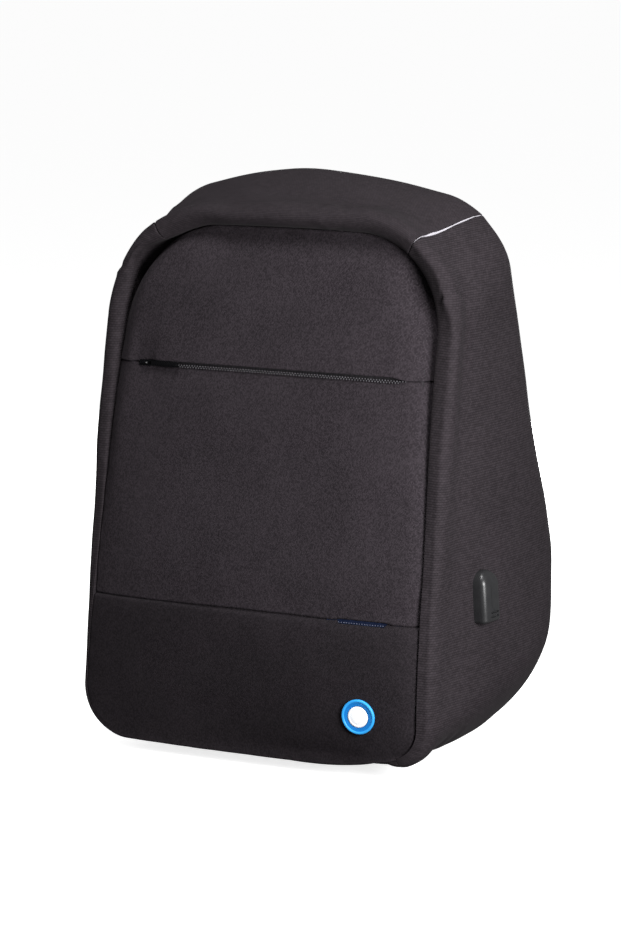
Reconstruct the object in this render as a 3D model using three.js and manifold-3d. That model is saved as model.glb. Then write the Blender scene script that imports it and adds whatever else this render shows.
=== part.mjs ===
// Laptop backpack: a soft wedge-shaped shell with a framed front panel, standing on its base.
// Millimetres, +Z up, front panel towards -Y, port housing on the +X side.
// The origin is on the floor, in the middle of the footprint.
import * as THREE from "three";
import { mergeVertices } from "three/addons/utils/BufferGeometryUtils.js";
import Module from "manifold-3d";

const wasm = await Module();
wasm.setup();

// Outlines of the front panel and of the back panel: rounded trapezoids, seen from the front
const FRONT_OUTLINE = {
  bottom: 14, top: 379, halfLow: 136, halfHigh: 126, cornerLow: 24, cornerHigh: 70, arch: 3,
};
const BACK_OUTLINE = {
  bottom: 22, top: 391, halfLow: 147, halfHigh: 133, cornerLow: 74, cornerHigh: 37, arch: 12,
};

// Side profile: how far back the front seam and the back seam stand at each height
const SIDE_PROFILE = [
  { at: 0, front: -2, back: 176 },
  { at: 60, front: 2, back: 178 },
  { at: 155, front: 15, back: 187 },
  { at: 280, front: 33, back: 152 },
  { at: 410, front: 66, back: 122 },
];
const ORIGIN_DEPTH = 97;

// Stations run round half an outline: 0 bottom middle, 1 and 2 ends of the low corner,
// 3 and 4 ends of the high corner, 5 top middle.
// The rim stands out beside the panel and ahead of it, and the band swells behind the rim.
const BAND_SHAPE = [
  { at: 0, rim: 2, ahead: 0.5, swell: 22 },
  { at: 0.7, rim: 2, ahead: 0.5, swell: 22 },
  { at: 1, rim: 2, ahead: 0.5, swell: 17 },
  { at: 1.5, rim: 2, ahead: 0.5, swell: 14 },
  { at: 2, rim: 3, ahead: 0.5, swell: 17 },
  { at: 2.5, rim: 8, ahead: 1.5, swell: 12 },
  { at: 3, rim: 12, ahead: 6, swell: 9 },
  { at: 3.5, rim: 15, ahead: 8, swell: 5 },
  { at: 4, rim: 14.5, ahead: 9, swell: 11 },
  { at: 5, rim: 14.5, ahead: 9, swell: 18 },
];

// Cross-section of the band from the front seam to the back seam, as shares of the sizes above,
// with the share of the wall's thickness and of the strip's slot
const BAND_SECTION = [
  { depth: 0, rim: 0, ahead: 0, swell: 0, wall: 0.5, slot: 0 },
  { depth: 0, rim: 0.14, ahead: 0.66, swell: 0, wall: 0.5, slot: 0 },
  { depth: 0, rim: 0.42, ahead: 1, swell: 0, wall: 0.5, slot: 0 },
  { depth: 0.012, rim: 0.76, ahead: 0.9, swell: 0.02, wall: 0.7, slot: 0.4 },
  { depth: 0.04, rim: 0.96, ahead: 0.5, swell: 0.08, wall: 0.9, slot: 1 },
  { depth: 0.09, rim: 1, ahead: 0.1, swell: 0.18, wall: 1, slot: 1 },
  { depth: 0.2, rim: 0.8, ahead: 0, swell: 0.44, wall: 1, slot: 1 },
  { depth: 0.4, rim: 0.6, ahead: 0, swell: 0.84, wall: 1, slot: 1 },
  { depth: 0.6, rim: 0.4, ahead: 0, swell: 1, wall: 1, slot: 1 },
  { depth: 0.78, rim: 0.22, ahead: 0, swell: 1, wall: 1, slot: 1 },
  { depth: 0.9, rim: 0.1, ahead: 0, swell: 0.86, wall: 1, slot: 0.8 },
  { depth: 0.97, rim: 0.03, ahead: 0, swell: 0.54, wall: 0.7, slot: 0.4 },
  { depth: 1, rim: 0, ahead: 0, swell: 0, wall: 0.4, slot: 0 },
];

// Dents in the band: on one side or both, at a station and a section row, with their reach
const RIGHT = 1;
const LEFT = -1;
const BOTH = 0;
const DENTS = [
  { side: RIGHT, station: 3.25, row: 3, stations: 0.08, rows: 1, depth: 2 },
  { side: LEFT, station: 3.3, row: 2, stations: 0.08, rows: 1, depth: 1.5 },
  { side: BOTH, station: 4.7, row: 6, stations: 0.9, rows: 0.8, depth: 3 },
  { side: BOTH, station: 2.6, row: 6, stations: 0.6, rows: 0.8, depth: 2 },
  { side: RIGHT, station: 1.35, row: 6, stations: 0.35, rows: 1.4, depth: 4.5 },
  { side: LEFT, station: 3.9, row: 8, stations: 0.25, rows: 2.2, depth: 6 },
];

// Seams across the band, and the slots beside the top band that hold the reflective strips
const TOP_SEAM = 3.62;
const BASE_SEAM = 1.2;
const SEAM_HALF_GAP = 0.003;
const STRIP_HALF_SLOT = 0.014;
const STRIP_ROWS = { first: 3, last: 11 };
const STRIP_PROUD = 0.4;
const STRIP_WALL = 1.2;

const BAND_WALL = 2.4;
const PANEL_WALL = 3;
const PANEL_GAP = 0.6;
const FRONT_CROWN = 6;
const BACK_WALL = 6;
const BACK_GAP = 1.2;
const BACK_CROWN = 6;
const PANEL_COLUMNS = 12;

// Front zip: a slot across the panel that closes to a seam at both ends
const ZIP_HEIGHT = 282;
const ZIP_SLOT = { halfLength: 112, closing: 8, halfGap: 3, seamHalfGap: 0.4 };
const ZIP_TAPE = { halfLength: 119, halfWidth: 8, set: 4.5, wall: 0.8 };
const ZIP_COIL = { from: -96, to: 112, halfWidth: 1.8, set: 2.4, dome: 0.5, wall: 1.4 };
const HEM_REACH = 22;
const FLAP_LIFT = 1.5;
const FLAP_SINK = 1;

// Low pocket's mouth, a little open where the lining shows
const POCKET_HEIGHT = 113;
const POCKET_MOUTH = { middle: 86, halfLength: 17, closing: 6, halfGap: 1.5, seamHalfGap: 0.4 };
const POCKET_LIFT = 2;
const POCKET_SINK = 1.5;
const LINING = { from: 58, to: 116, halfWidth: 7, set: 4.9, wall: 0.8 };

// Zip slider and puller, in a frame with X along the zip, Y up the panel and Z out of it
const SLIDER_PLACE = -102;
const SLIDER = { from: -5.5, to: 4.5, halfWidth: 2.2, back: -1.9, top: -0.2, corner: 1.2 };
const BRIDGE = { halfSpan: 2.3, leg: 0.9, halfWidth: 0.8, underside: 1.7, roof: 0.8, sunk: 0.5 };
const PULLER = {
  length: 30, halfWidth: 2.2, wall: 1, axle: 0.75, bar: 0.5, eye: 6, halfEye: 1.25, corner: 1,
};

// Badge on the low pocket
const BADGE = { x: 87.8, z: 48.5, radius: 12.5, seat: 0.35, rim: 2, ring: 1.7, floor: 1.5, chamfer: 0.4 };
const BADGE_CENTRE = { radius: 7.6, recess: 0.6, gap: 0.3, wall: 1, shoulder: 0.6, dome: 0.1 };
const ROUND_STEPS = 36;

// Port housing on the right side, in a frame with X towards the back, Y up and Z out.
// Its rear is seated on the band ring by ring.
const HOUSING = {
  station: 2.232, row: 7, ahead: 10.5, halfWidth: 10, halfHeight: 18.8, corner: 2.5, gap: 0.5,
};
const HOUSING_REAR = [0.35, 0.7, 1];
const HOUSING_PROFILE = [
  { scale: 0.97, height: 5.5 },
  { scale: 0.9, height: 7.8 },
  { scale: 0.76, height: 9.1 },
  { scale: 0.4, height: 9.6 },
];
const HOUSING_GROOVES = { x: 3.2, low: -14.2, pitch: 3, count: 2, length: 6.4, height: 1.2, depth: 1.4 };

// Shoulder straps laid flat on the back: width and thickness along the strap
const STRAP_TOP = { x: 39, z: 350 };
const STRAP_BEND = { x: 72, z: 235 };
const STRAP_END = { x: 106, z: 84 };
const STRAP_GAP = 0.4;
const STRAP_SHAPE = [
  { at: 0, width: 58, thick: 9 },
  { at: 0.12, width: 64, thick: 13 },
  { at: 0.55, width: 62, thick: 13 },
  { at: 0.68, width: 44, thick: 10 },
  { at: 0.76, width: 27, thick: 3.5 },
  { at: 1, width: 26, thick: 3 },
];
const STRAP_STEPS = 20;
const STRAP_ACROSS = [
  { share: -1, thick: 0.3 },
  { share: -0.82, thick: 0.85 },
  { share: 0, thick: 1 },
  { share: 0.82, thick: 0.85 },
  { share: 1, thick: 0.3 },
];

// Grab handle above the straps
const HANDLE = { z: 378, halfWidth: 11, halfSpan: 40, foot: 12, arch: 26, wall: 4, gap: 0.4, steps: 16 };

const CHARCOAL = 0x3a3539;
const NAVY = 0x1b2440;
const BLACK_METAL = 0x17171a;
const COIL_GREY = 0x55535a;
const REFLECTIVE = 0xa9a6ab;
const HOUSING_GREY = 0x2c2c2f;
const BADGE_BLUE = 0x1d86cf;
const BADGE_WHITE = 0xf2f4f6;

// Evenly spaced numbers from one value to another
function spread(from, to, steps) {
  return Array.from({ length: steps + 1 }, (_, step) => from + ((to - from) * step) / steps);
}

// Smooth curve through one column of a table, read at a place along it.
// A mirrored table starts and ends level, because its other half follows on.
function along(rows, column, place, mirrored = false) {
  const last = rows.length - 1;
  let first = 0;
  while (first < last - 1 && place > rows[first + 1].at) first += 1;
  const slope = (row) => {
    if (mirrored && (row === 0 || row === last)) return 0;
    const before = rows[Math.max(row - 1, 0)];
    const after = rows[Math.min(row + 1, last)];
    return (after[column] - before[column]) / (after.at - before.at);
  };
  const step = rows[first + 1].at - rows[first].at;
  const t = THREE.MathUtils.clamp((place - rows[first].at) / step, 0, 1);
  return rows[first][column] * (2 * t ** 3 - 3 * t ** 2 + 1)
    + slope(first) * step * (t ** 3 - 2 * t ** 2 + t)
    + rows[first + 1][column] * (3 * t ** 2 - 2 * t ** 3)
    + slope(first + 1) * step * (t ** 3 - t ** 2);
}

// Rise of the arched top at a point of an outline
function archRise(outline, x, z) {
  const across = 1 - (x / outline.halfHigh) ** 2;
  const up = (z - outline.bottom) / (outline.top - outline.bottom);
  return outline.arch * Math.max(across, 0) * THREE.MathUtils.clamp(up, 0, 1) ** 4;
}

// Point and outward normal of an outline at a station, before its top is arched
function outlinePlace(outline, station) {
  const low = new THREE.Vector2(outline.halfLow, outline.bottom);
  const high = new THREE.Vector2(outline.halfHigh, outline.top);
  const side = high.clone().sub(low).normalize();
  const turn = side.angle();
  const lowCut = outline.cornerLow * Math.tan(turn / 2);
  const highCut = outline.cornerHigh * Math.tan((Math.PI - turn) / 2);
  const stretch = Math.min(Math.floor(station), 4);
  const t = station - stretch;
  const onCorner = (centre, radius, angle) => {
    const normal = new THREE.Vector2(Math.cos(angle), Math.sin(angle));
    return { point: normal.clone().multiplyScalar(radius).add(centre), normal };
  };
  if (stretch === 0) {
    return { point: new THREE.Vector2((low.x - lowCut) * t, low.y), normal: new THREE.Vector2(0, -1) };
  }
  if (stretch === 1) {
    const centre = new THREE.Vector2(low.x - lowCut, low.y + outline.cornerLow);
    return onCorner(centre, outline.cornerLow, -Math.PI / 2 + turn * t);
  }
  if (stretch === 2) {
    const start = low.clone().addScaledVector(side, lowCut);
    const end = high.clone().addScaledVector(side, -highCut);
    return { point: start.lerp(end, t), normal: new THREE.Vector2(side.y, -side.x) };
  }
  if (stretch === 3) {
    const centre = new THREE.Vector2(high.x - highCut, high.y - outline.cornerHigh);
    return onCorner(centre, outline.cornerHigh, turn - Math.PI / 2 + (Math.PI - turn) * t);
  }
  return { point: new THREE.Vector2((high.x - highCut) * (1 - t), high.y), normal: new THREE.Vector2(0, 1) };
}

// Station on the straight side of an outline at a height
function sideStation(outline, height) {
  const start = outlinePlace(outline, 2).point.y;
  const end = outlinePlace(outline, 3).point.y;
  return 2 + (height - start) / (end - start);
}

// The same outline, a little smaller all round
function insetOutline(outline, gap) {
  return {
    ...outline,
    bottom: outline.bottom + gap,
    top: outline.top - gap,
    halfLow: outline.halfLow - gap,
    halfHigh: outline.halfHigh - gap,
    cornerLow: outline.cornerLow - gap,
    cornerHigh: outline.cornerHigh - gap,
  };
}

// How far dents push the band in at a station and a section row
function dentDepth(side, station, row) {
  return DENTS.filter((dent) => dent.side === BOTH || dent.side === side).reduce((sum, dent) => {
    const round = (station - dent.station) / dent.stations;
    const through = (row - dent.row) / dent.rows;
    return sum + dent.depth * Math.exp(-(round ** 2) - through ** 2);
  }, 0);
}

// Point on the outside of the band
function bandPoint(side, station, row) {
  const section = BAND_SECTION[row];
  const front = outlinePlace(FRONT_OUTLINE, station);
  const back = outlinePlace(BACK_OUTLINE, station);
  front.point.y += archRise(FRONT_OUTLINE, front.point.x, front.point.y);
  back.point.y += archRise(BACK_OUTLINE, back.point.x, back.point.y);
  const outward = front.normal.clone().add(back.normal).normalize();
  const rim = along(BAND_SHAPE, "rim", station, true) * section.rim;
  const swell = along(BAND_SHAPE, "swell", station, true) * section.swell;
  const out = rim + swell - dentDepth(side, station, row) * Math.min(section.rim * 2, 1);
  const flat = front.point.clone().lerp(back.point, section.depth).addScaledVector(outward, out);
  const frontDepth = along(SIDE_PROFILE, "front", front.point.y);
  const backDepth = along(SIDE_PROFILE, "back", back.point.y);
  const ahead = along(BAND_SHAPE, "ahead", station, true) * section.ahead;
  const depth = THREE.MathUtils.lerp(frontDepth, backDepth, section.depth) - ahead;
  return new THREE.Vector3(side * flat.x, depth, Math.max(flat.y, 0));
}

// Outward unit normal of the band
function bandNormal(side, station, row) {
  const nudge = 0.02;
  const ahead = bandPoint(side, Math.min(station + nudge, 5), row);
  const onwards = ahead.sub(bandPoint(side, Math.max(station - nudge, 0), row));
  const rear = bandPoint(side, station, Math.min(row + 1, BAND_SECTION.length - 1));
  const rearwards = rear.sub(bandPoint(side, station, Math.max(row - 1, 0)));
  return rearwards.cross(onwards).normalize().multiplyScalar(side);
}

// Unit normals of a grid of points, pointing to the side that the grid's rows and columns face
function gridNormals(grid) {
  return grid.map((line, i) => line.map((_, j) => {
    const next = grid[Math.min(i + 1, grid.length - 1)][j];
    const last = grid[Math.max(i - 1, 0)][j];
    const right = line[Math.min(j + 1, line.length - 1)];
    const left = line[Math.max(j - 1, 0)];
    return right.clone().sub(left).cross(next.clone().sub(last)).normalize();
  }));
}

// The grid moved along its own normals
function shifted(grid, distance) {
  const normals = gridNormals(grid);
  return grid.map((line, i) => line.map((point, j) => {
    return point.clone().addScaledVector(normals[i][j], distance(i, j));
  }));
}

// Closed solid between an outer grid and an inner grid of the same size
function wallGeometry(outer, inner) {
  const rows = outer.length;
  const columns = outer[0].length;
  const points = [outer, inner].flat(2);
  const index = [];
  const at = (i, j) => i * columns + j;
  const under = (i, j) => rows * columns + at(i, j);
  const quad = (a, b, c, d) => index.push(a, b, c, a, c, d);
  for (let i = 0; i < rows - 1; i += 1) {
    for (let j = 0; j < columns - 1; j += 1) {
      quad(at(i, j), at(i, j + 1), at(i + 1, j + 1), at(i + 1, j));
      quad(under(i, j), under(i + 1, j), under(i + 1, j + 1), under(i, j + 1));
    }
    quad(at(i, 0), at(i + 1, 0), under(i + 1, 0), under(i, 0));
    quad(at(i + 1, columns - 1), at(i, columns - 1), under(i, columns - 1), under(i + 1, columns - 1));
  }
  for (let j = 0; j < columns - 1; j += 1) {
    quad(at(0, j + 1), at(0, j), under(0, j), under(0, j + 1));
    quad(at(rows - 1, j), at(rows - 1, j + 1), under(rows - 1, j + 1), under(rows - 1, j));
  }
  const geometry = new THREE.BufferGeometry().setFromPoints(points);
  geometry.setIndex(index);
  return geometry;
}

// Solid for joining and cutting
function solid(geometry) {
  const bare = geometry.clone();
  bare.deleteAttribute("normal");
  bare.deleteAttribute("uv");
  const merged = mergeVertices(bare, 1e-4);
  return new wasm.Manifold(new wasm.Mesh({
    numProp: 3,
    vertProperties: new Float32Array(merged.attributes.position.array),
    triVerts: new Uint32Array(merged.index.array),
  }));
}

// Geometry of a joined or cut solid
function geometryOf(manifold) {
  const mesh = manifold.getMesh();
  const geometry = new THREE.BufferGeometry();
  geometry.setAttribute("position", new THREE.BufferAttribute(new Float32Array(mesh.vertProperties), 3));
  geometry.setIndex(Array.from(mesh.triVerts));
  return geometry;
}

const bag = new THREE.Group();
bag.position.y = -ORIGIN_DEPTH;

// Adds one named sub-part with a finish of its own
function addPart(name, geometry, color, roughness, metalness = 0, parent = bag) {
  const material = new THREE.MeshStandardMaterial({ color, roughness, metalness });
  const mesh = new THREE.Mesh(geometry, material);
  mesh.name = name;
  parent.add(mesh);
  return mesh;
}

// Places round the band in order, each with its side, its station and which way its seam edge gives way
function bandPlaces(side, stations, startGives, endGives) {
  return stations.map((station, order) => {
    const first = order === 0 ? startGives : 0;
    const last = order === stations.length - 1 ? endGives : 0;
    return { side, station, gives: first + last };
  });
}

// Half the opening of the seam across the band at a section row, in stations
function seamHalfGap(station, row) {
  const slot = station > 2 ? (STRIP_HALF_SLOT - SEAM_HALF_GAP) * BAND_SECTION[row].slot : 0;
  return SEAM_HALF_GAP + slot;
}

// One sewn piece of the band, walled inwards
function bandGeometry(places) {
  const layer = (depth) => places.map(({ side, station, gives }) => BAND_SECTION.map((section, row) => {
    const place = station + gives * seamHalfGap(station, row);
    const inwards = bandNormal(side, place, row).multiplyScalar(-depth * section.wall);
    return bandPoint(side, place, row).add(inwards);
  }));
  return wallGeometry(layer(0), layer(BAND_WALL));
}

const SIDE_STATIONS = [
  BASE_SEAM, ...spread(1.4, 2, 4), ...spread(2.07, 3, 13), ...spread(3.1, 3.5, 4), TOP_SEAM,
];
const HIGH_STATIONS = [TOP_SEAM, ...spread(3.72, 4, 3), ...spread(4.2, 5, 4)];
const LOW_STATIONS = [BASE_SEAM, ...spread(1.1, 0.9, 2), ...spread(0.7, 0, 4)];
const overTheTop = [
  ...bandPlaces(RIGHT, HIGH_STATIONS, 1, 0),
  ...bandPlaces(LEFT, [...HIGH_STATIONS].reverse().slice(1), 0, 1),
];
const underTheBag = [
  ...bandPlaces(LEFT, LOW_STATIONS, -1, 0),
  ...bandPlaces(RIGHT, [...LOW_STATIONS].reverse().slice(1), 0, -1),
];
const upTheRight = bandPlaces(RIGHT, SIDE_STATIONS, 1, -1);
const downTheLeft = bandPlaces(LEFT, [...SIDE_STATIONS].reverse(), -1, 1);
const gussetRight = addPart("gusset_right", bandGeometry(upTheRight), CHARCOAL, 0.9);
addPart("gusset_left", bandGeometry(downTheLeft), CHARCOAL, 0.9);
addPart("gusset_top", bandGeometry(overTheTop), CHARCOAL, 0.9);
addPart("gusset_base", bandGeometry(underTheBag), CHARCOAL, 0.9);

// Reflective strip in the seam beside the top band
function stripGeometry(side) {
  const rows = spread(STRIP_ROWS.first, STRIP_ROWS.last, STRIP_ROWS.last - STRIP_ROWS.first);
  const edge = (row) => seamHalfGap(TOP_SEAM, row) - SEAM_HALF_GAP;
  const layer = (proud) => [-side, side].map((way) => rows.map((row) => {
    const place = TOP_SEAM + way * edge(row);
    return bandPoint(side, place, row).addScaledVector(bandNormal(side, place, row), proud);
  }));
  return wallGeometry(layer(STRIP_PROUD), layer(STRIP_PROUD - STRIP_WALL));
}

addPart("reflective_strip_right", stripGeometry(RIGHT), REFLECTIVE, 0.35);
addPart("reflective_strip_left", stripGeometry(LEFT), REFLECTIVE, 0.35);

// Share of fullness between the edges of an outline, highest in its middle
function crownShare(outline, x, z) {
  const across = x / outline.halfLow;
  const up = (2 * (z - outline.bottom)) / (outline.top - outline.bottom) - 1;
  return (1 - across ** 4) * (1 - Math.min(Math.abs(up), 1) ** 4);
}

// Depth of the front face and of the back face at a point
function frontFace(x, z) {
  return along(SIDE_PROFILE, "front", z) - FRONT_CROWN * crownShare(FRONT_OUTLINE, x, z);
}

function backFace(x, z) {
  return along(SIDE_PROFILE, "back", z) + BACK_CROWN * crownShare(BACK_OUTLINE, x, z);
}

// Half the opening between two panels: wide along a slot, a bare seam beyond its ends
function slotHalfGap(slot, x) {
  const past = (Math.abs(x - (slot.middle ?? 0)) - slot.halfLength) / slot.closing;
  return THREE.MathUtils.lerp(slot.halfGap, slot.seamHalfGap, THREE.MathUtils.smoothstep(past, 0, 1));
}

// Fading of a hem's lift with the distance from its edge
function hemShare(distance) {
  return Math.exp(-((distance / HEM_REACH) ** 2));
}

// Front panel between two stations, with its hems lifted at the lower edge and sunk at the upper one
function frontPanelGeometry({ stations, lower, upper, lift = 0, sink = 0 }) {
  const outline = insetOutline(FRONT_OUTLINE, PANEL_GAP);
  const heights = stations.map((station) => outlinePlace(outline, station).point.y);
  const top = heights.length - 1;
  const outer = stations.map((station, row) => {
    const edge = outlinePlace(outline, station).point;
    return spread(-edge.x, edge.x, PANEL_COLUMNS).map((x) => {
      const raised = row === 0 && lower ? slotHalfGap(lower, x) : 0;
      const lowered = row === top && upper ? slotHalfGap(upper, x) : 0;
      const z = edge.y + archRise(outline, x, edge.y) + raised - lowered;
      const hems = sink * hemShare(heights[top] - z) - lift * hemShare(z - heights[0]);
      return new THREE.Vector3(x, frontFace(x, z) + hems, z);
    });
  });
  return wallGeometry(outer, shifted(outer, () => -PANEL_WALL));
}

const zipStation = sideStation(FRONT_OUTLINE, ZIP_HEIGHT);
const pocketStation = sideStation(FRONT_OUTLINE, POCKET_HEIGHT);
addPart("front_panel_upper", frontPanelGeometry({
  stations: [...spread(zipStation, 3, 3), ...spread(3.15, 4, 6)],
  lower: ZIP_SLOT,
  lift: FLAP_LIFT,
}), CHARCOAL, 0.9);
addPart("front_panel_main", frontPanelGeometry({
  stations: spread(pocketStation, zipStation, 8),
  lower: POCKET_MOUTH,
  upper: ZIP_SLOT,
  lift: POCKET_LIFT,
  sink: FLAP_SINK,
}), CHARCOAL, 0.9);
addPart("front_panel_lower", frontPanelGeometry({
  stations: [...spread(1, 2, 6), ...spread(2, pocketStation, 4).slice(1)],
  upper: POCKET_MOUTH,
  sink: POCKET_SINK,
}), CHARCOAL, 0.9);

// Narrow band set behind the front face along a seam
function seamBandGeometry({ from, to, halfWidth, set, wall, dome = 0 }, height) {
  const outer = [-1, 0, 1].map((way) => spread(from, to, PANEL_COLUMNS).map((x) => {
    const z = height + archRise(FRONT_OUTLINE, x, height) + way * halfWidth;
    return new THREE.Vector3(x, frontFace(x, z) + set - dome * (1 - way ** 2), z);
  }));
  return wallGeometry(outer, shifted(outer, () => -wall));
}

const tapeSpan = { from: -ZIP_TAPE.halfLength, to: ZIP_TAPE.halfLength };
addPart("zip_tape", seamBandGeometry({ ...ZIP_TAPE, ...tapeSpan }, ZIP_HEIGHT), CHARCOAL, 0.9);
addPart("zip_coil", seamBandGeometry(ZIP_COIL, ZIP_HEIGHT), COIL_GREY, 0.5);
addPart("pocket_lining", seamBandGeometry(LINING, POCKET_HEIGHT), NAVY, 0.7);

// Frame with X to the right, Y up and Z out of the front face at a point
function frontFrame(x, z) {
  const step = 1;
  const right = new THREE.Vector3(2 * step, frontFace(x + step, z) - frontFace(x - step, z), 0).normalize();
  const up = new THREE.Vector3(0, frontFace(x, z + step) - frontFace(x, z - step), 2 * step);
  const out = right.clone().cross(up).normalize();
  const frame = new THREE.Group();
  frame.quaternion.setFromRotationMatrix(new THREE.Matrix4().makeBasis(right, out.clone().cross(right), out));
  frame.position.set(x, frontFace(x, z), z);
  bag.add(frame);
  return frame;
}

// Rectangle with rounded corners
function roundedRectangle(left, right, low, high, corner) {
  const shape = new THREE.Shape();
  shape.moveTo(left + corner, low);
  shape.absarc(right - corner, low + corner, corner, -Math.PI / 2, 0);
  shape.absarc(right - corner, high - corner, corner, 0, Math.PI / 2);
  shape.absarc(left + corner, high - corner, corner, Math.PI / 2, Math.PI);
  shape.absarc(left + corner, low + corner, corner, Math.PI, 1.5 * Math.PI);
  return shape;
}

// Plain extrusion from one height to another
function slab(shape, from, to) {
  const options = { depth: to - from, bevelEnabled: false, curveSegments: 4 };
  return new THREE.ExtrudeGeometry(shape, options).translate(0, 0, from);
}

// Slider: a flat body with an arched bridge over the puller's bar
function sliderGeometry() {
  const { from, to, halfWidth, back, top, corner } = SLIDER;
  const body = slab(roundedRectangle(from, to, -halfWidth, halfWidth, corner), back, top);
  const outside = BRIDGE.halfSpan + BRIDGE.leg;
  const foot = top - BRIDGE.sunk;
  const arch = new THREE.Shape();
  arch.moveTo(-outside, foot);
  arch.lineTo(-BRIDGE.halfSpan, foot);
  arch.lineTo(-BRIDGE.halfSpan, BRIDGE.underside);
  arch.lineTo(BRIDGE.halfSpan, BRIDGE.underside);
  arch.lineTo(BRIDGE.halfSpan, foot);
  arch.lineTo(outside, foot);
  arch.lineTo(outside, BRIDGE.underside);
  arch.lineTo(BRIDGE.halfSpan, BRIDGE.underside + BRIDGE.roof);
  arch.lineTo(-BRIDGE.halfSpan, BRIDGE.underside + BRIDGE.roof);
  arch.lineTo(-outside, BRIDGE.underside);
  const bridge = slab(arch, -BRIDGE.halfWidth, BRIDGE.halfWidth).rotateX(Math.PI / 2);
  return geometryOf(solid(body).add(solid(bridge)));
}

// Puller: a plate whose eye goes round the bridge
function pullerGeometry() {
  const { length, halfWidth, wall, axle, bar, eye, halfEye, corner } = PULLER;
  const plate = roundedRectangle(-bar, length, -halfWidth, halfWidth, corner);
  plate.holes.push(new THREE.Path([
    new THREE.Vector2(bar, -halfEye),
    new THREE.Vector2(bar, halfEye),
    new THREE.Vector2(eye, halfEye),
    new THREE.Vector2(eye, -halfEye),
  ]));
  return slab(plate, axle - wall / 2, axle + wall / 2);
}

const sliderHeight = ZIP_HEIGHT + archRise(FRONT_OUTLINE, SLIDER_PLACE, ZIP_HEIGHT);
const sliderFrame = frontFrame(SLIDER_PLACE, sliderHeight);
addPart("zip_slider", sliderGeometry(), BLACK_METAL, 0.4, 0.8, sliderFrame);
addPart("zip_puller", pullerGeometry(), BLACK_METAL, 0.4, 0.8, sliderFrame);

// Badge: a dished disc with a raised rim, and a domed middle in its recess
function badgeDiscGeometry() {
  const { radius, rim, ring, floor, chamfer } = BADGE;
  const recess = BADGE_CENTRE.radius + BADGE_CENTRE.gap;
  const profile = [
    [0, 0], [radius, 0], [radius, rim - chamfer], [radius - chamfer, rim], [radius - ring, rim],
    [radius - ring - chamfer, floor], [recess, floor], [recess, floor - BADGE_CENTRE.recess],
    [0, floor - BADGE_CENTRE.recess],
  ];
  return turned(profile);
}

function badgeCentreGeometry() {
  const { radius, recess, gap, wall, shoulder, dome } = BADGE_CENTRE;
  const base = BADGE.floor - recess + gap;
  const crest = base + wall;
  return turned([
    [0, base], [radius, base], [radius, crest - dome - shoulder / 2],
    [radius - shoulder, crest - dome], [0, crest],
  ]);
}

// Solid of revolution about Z from pairs of radius and height
function turned(profile) {
  const points = profile.map(([radius, height]) => new THREE.Vector2(radius, height));
  return new THREE.LatheGeometry(points, ROUND_STEPS).rotateX(Math.PI / 2);
}

const badgeFrame = frontFrame(BADGE.x, BADGE.z);
badgeFrame.translateZ(BADGE.seat);
addPart("badge_disc", badgeDiscGeometry(), BADGE_BLUE, 0.4, 0, badgeFrame);
addPart("badge_centre", badgeCentreGeometry(), BADGE_WHITE, 0.4, 0, badgeFrame);

// Port housing: a rounded cover whose rear follows the side band
function housingGeometry(seatHeight) {
  const { halfWidth, halfHeight, corner } = HOUSING;
  const shape = new THREE.Shape();
  shape.moveTo(-halfWidth + corner, -halfHeight);
  shape.absarc(halfWidth - corner, -halfHeight + corner, corner, -Math.PI / 2, 0);
  shape.absarc(0, halfHeight - halfWidth, halfWidth, 0, Math.PI);
  shape.absarc(-halfWidth + corner, -halfHeight + corner, corner, Math.PI, 1.5 * Math.PI);
  const outline = shape.extractPoints(6).shape;
  const ring = (scale, height) => outline.map((point) => {
    return new THREE.Vector3(point.x * scale, point.y * scale, height(point.x * scale, point.y * scale));
  });
  const rings = HOUSING_REAR.map((scale) => ring(scale, seatHeight));
  HOUSING_PROFILE.forEach(({ scale, height }) => rings.push(ring(scale, () => height)));
  const points = rings.flat();
  const rear = points.push(new THREE.Vector3(0, 0, seatHeight(0, 0))) - 1;
  const crest = points.push(new THREE.Vector3(0, 0, HOUSING_PROFILE.at(-1).height)) - 1;
  const count = outline.length;
  const lastRing = (rings.length - 1) * count;
  const index = [];
  for (let step = 0; step < count; step += 1) {
    const next = (step + 1) % count;
    index.push(rear, next, step, crest, lastRing + step, lastRing + next);
    for (let level = 0; level < lastRing; level += count) {
      index.push(level + step, level + next, level + count + next);
      index.push(level + step, level + count + next, level + count + step);
    }
  }
  const cover = new THREE.BufferGeometry().setFromPoints(points);
  cover.setIndex(index);
  return cover;
}

// Cover with its grooves cut in
function groovedHousing(seatHeight) {
  const { x, low, pitch, count, length, height, depth } = HOUSING_GROOVES;
  const crest = HOUSING_PROFILE.at(-1).height;
  let cover = solid(housingGeometry(seatHeight));
  for (let groove = 0; groove < count; groove += 1) {
    const cutter = new THREE.BoxGeometry(length, height, 2 * depth);
    cutter.translate(x, low + groove * pitch, crest - depth / 2);
    cover = cover.subtract(solid(cutter));
  }
  return geometryOf(cover);
}

// Frame on the right band with X towards the back, Y up and Z out
function bandFrame(station, row) {
  const here = bandPoint(RIGHT, station, row);
  const up = bandPoint(RIGHT, station + 0.1, row).sub(here).normalize();
  const rearwards = bandPoint(RIGHT, station, row + 1).sub(bandPoint(RIGHT, station, row - 1));
  const out = rearwards.cross(up).normalize();
  const frame = new THREE.Group();
  frame.quaternion.setFromRotationMatrix(new THREE.Matrix4().makeBasis(up.clone().cross(out), up, out));
  frame.position.copy(here);
  bag.add(frame);
  return frame;
}

const housingFrame = bandFrame(HOUSING.station, HOUSING.row);
housingFrame.translateX(-HOUSING.ahead);
bag.updateMatrixWorld(true);

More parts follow.
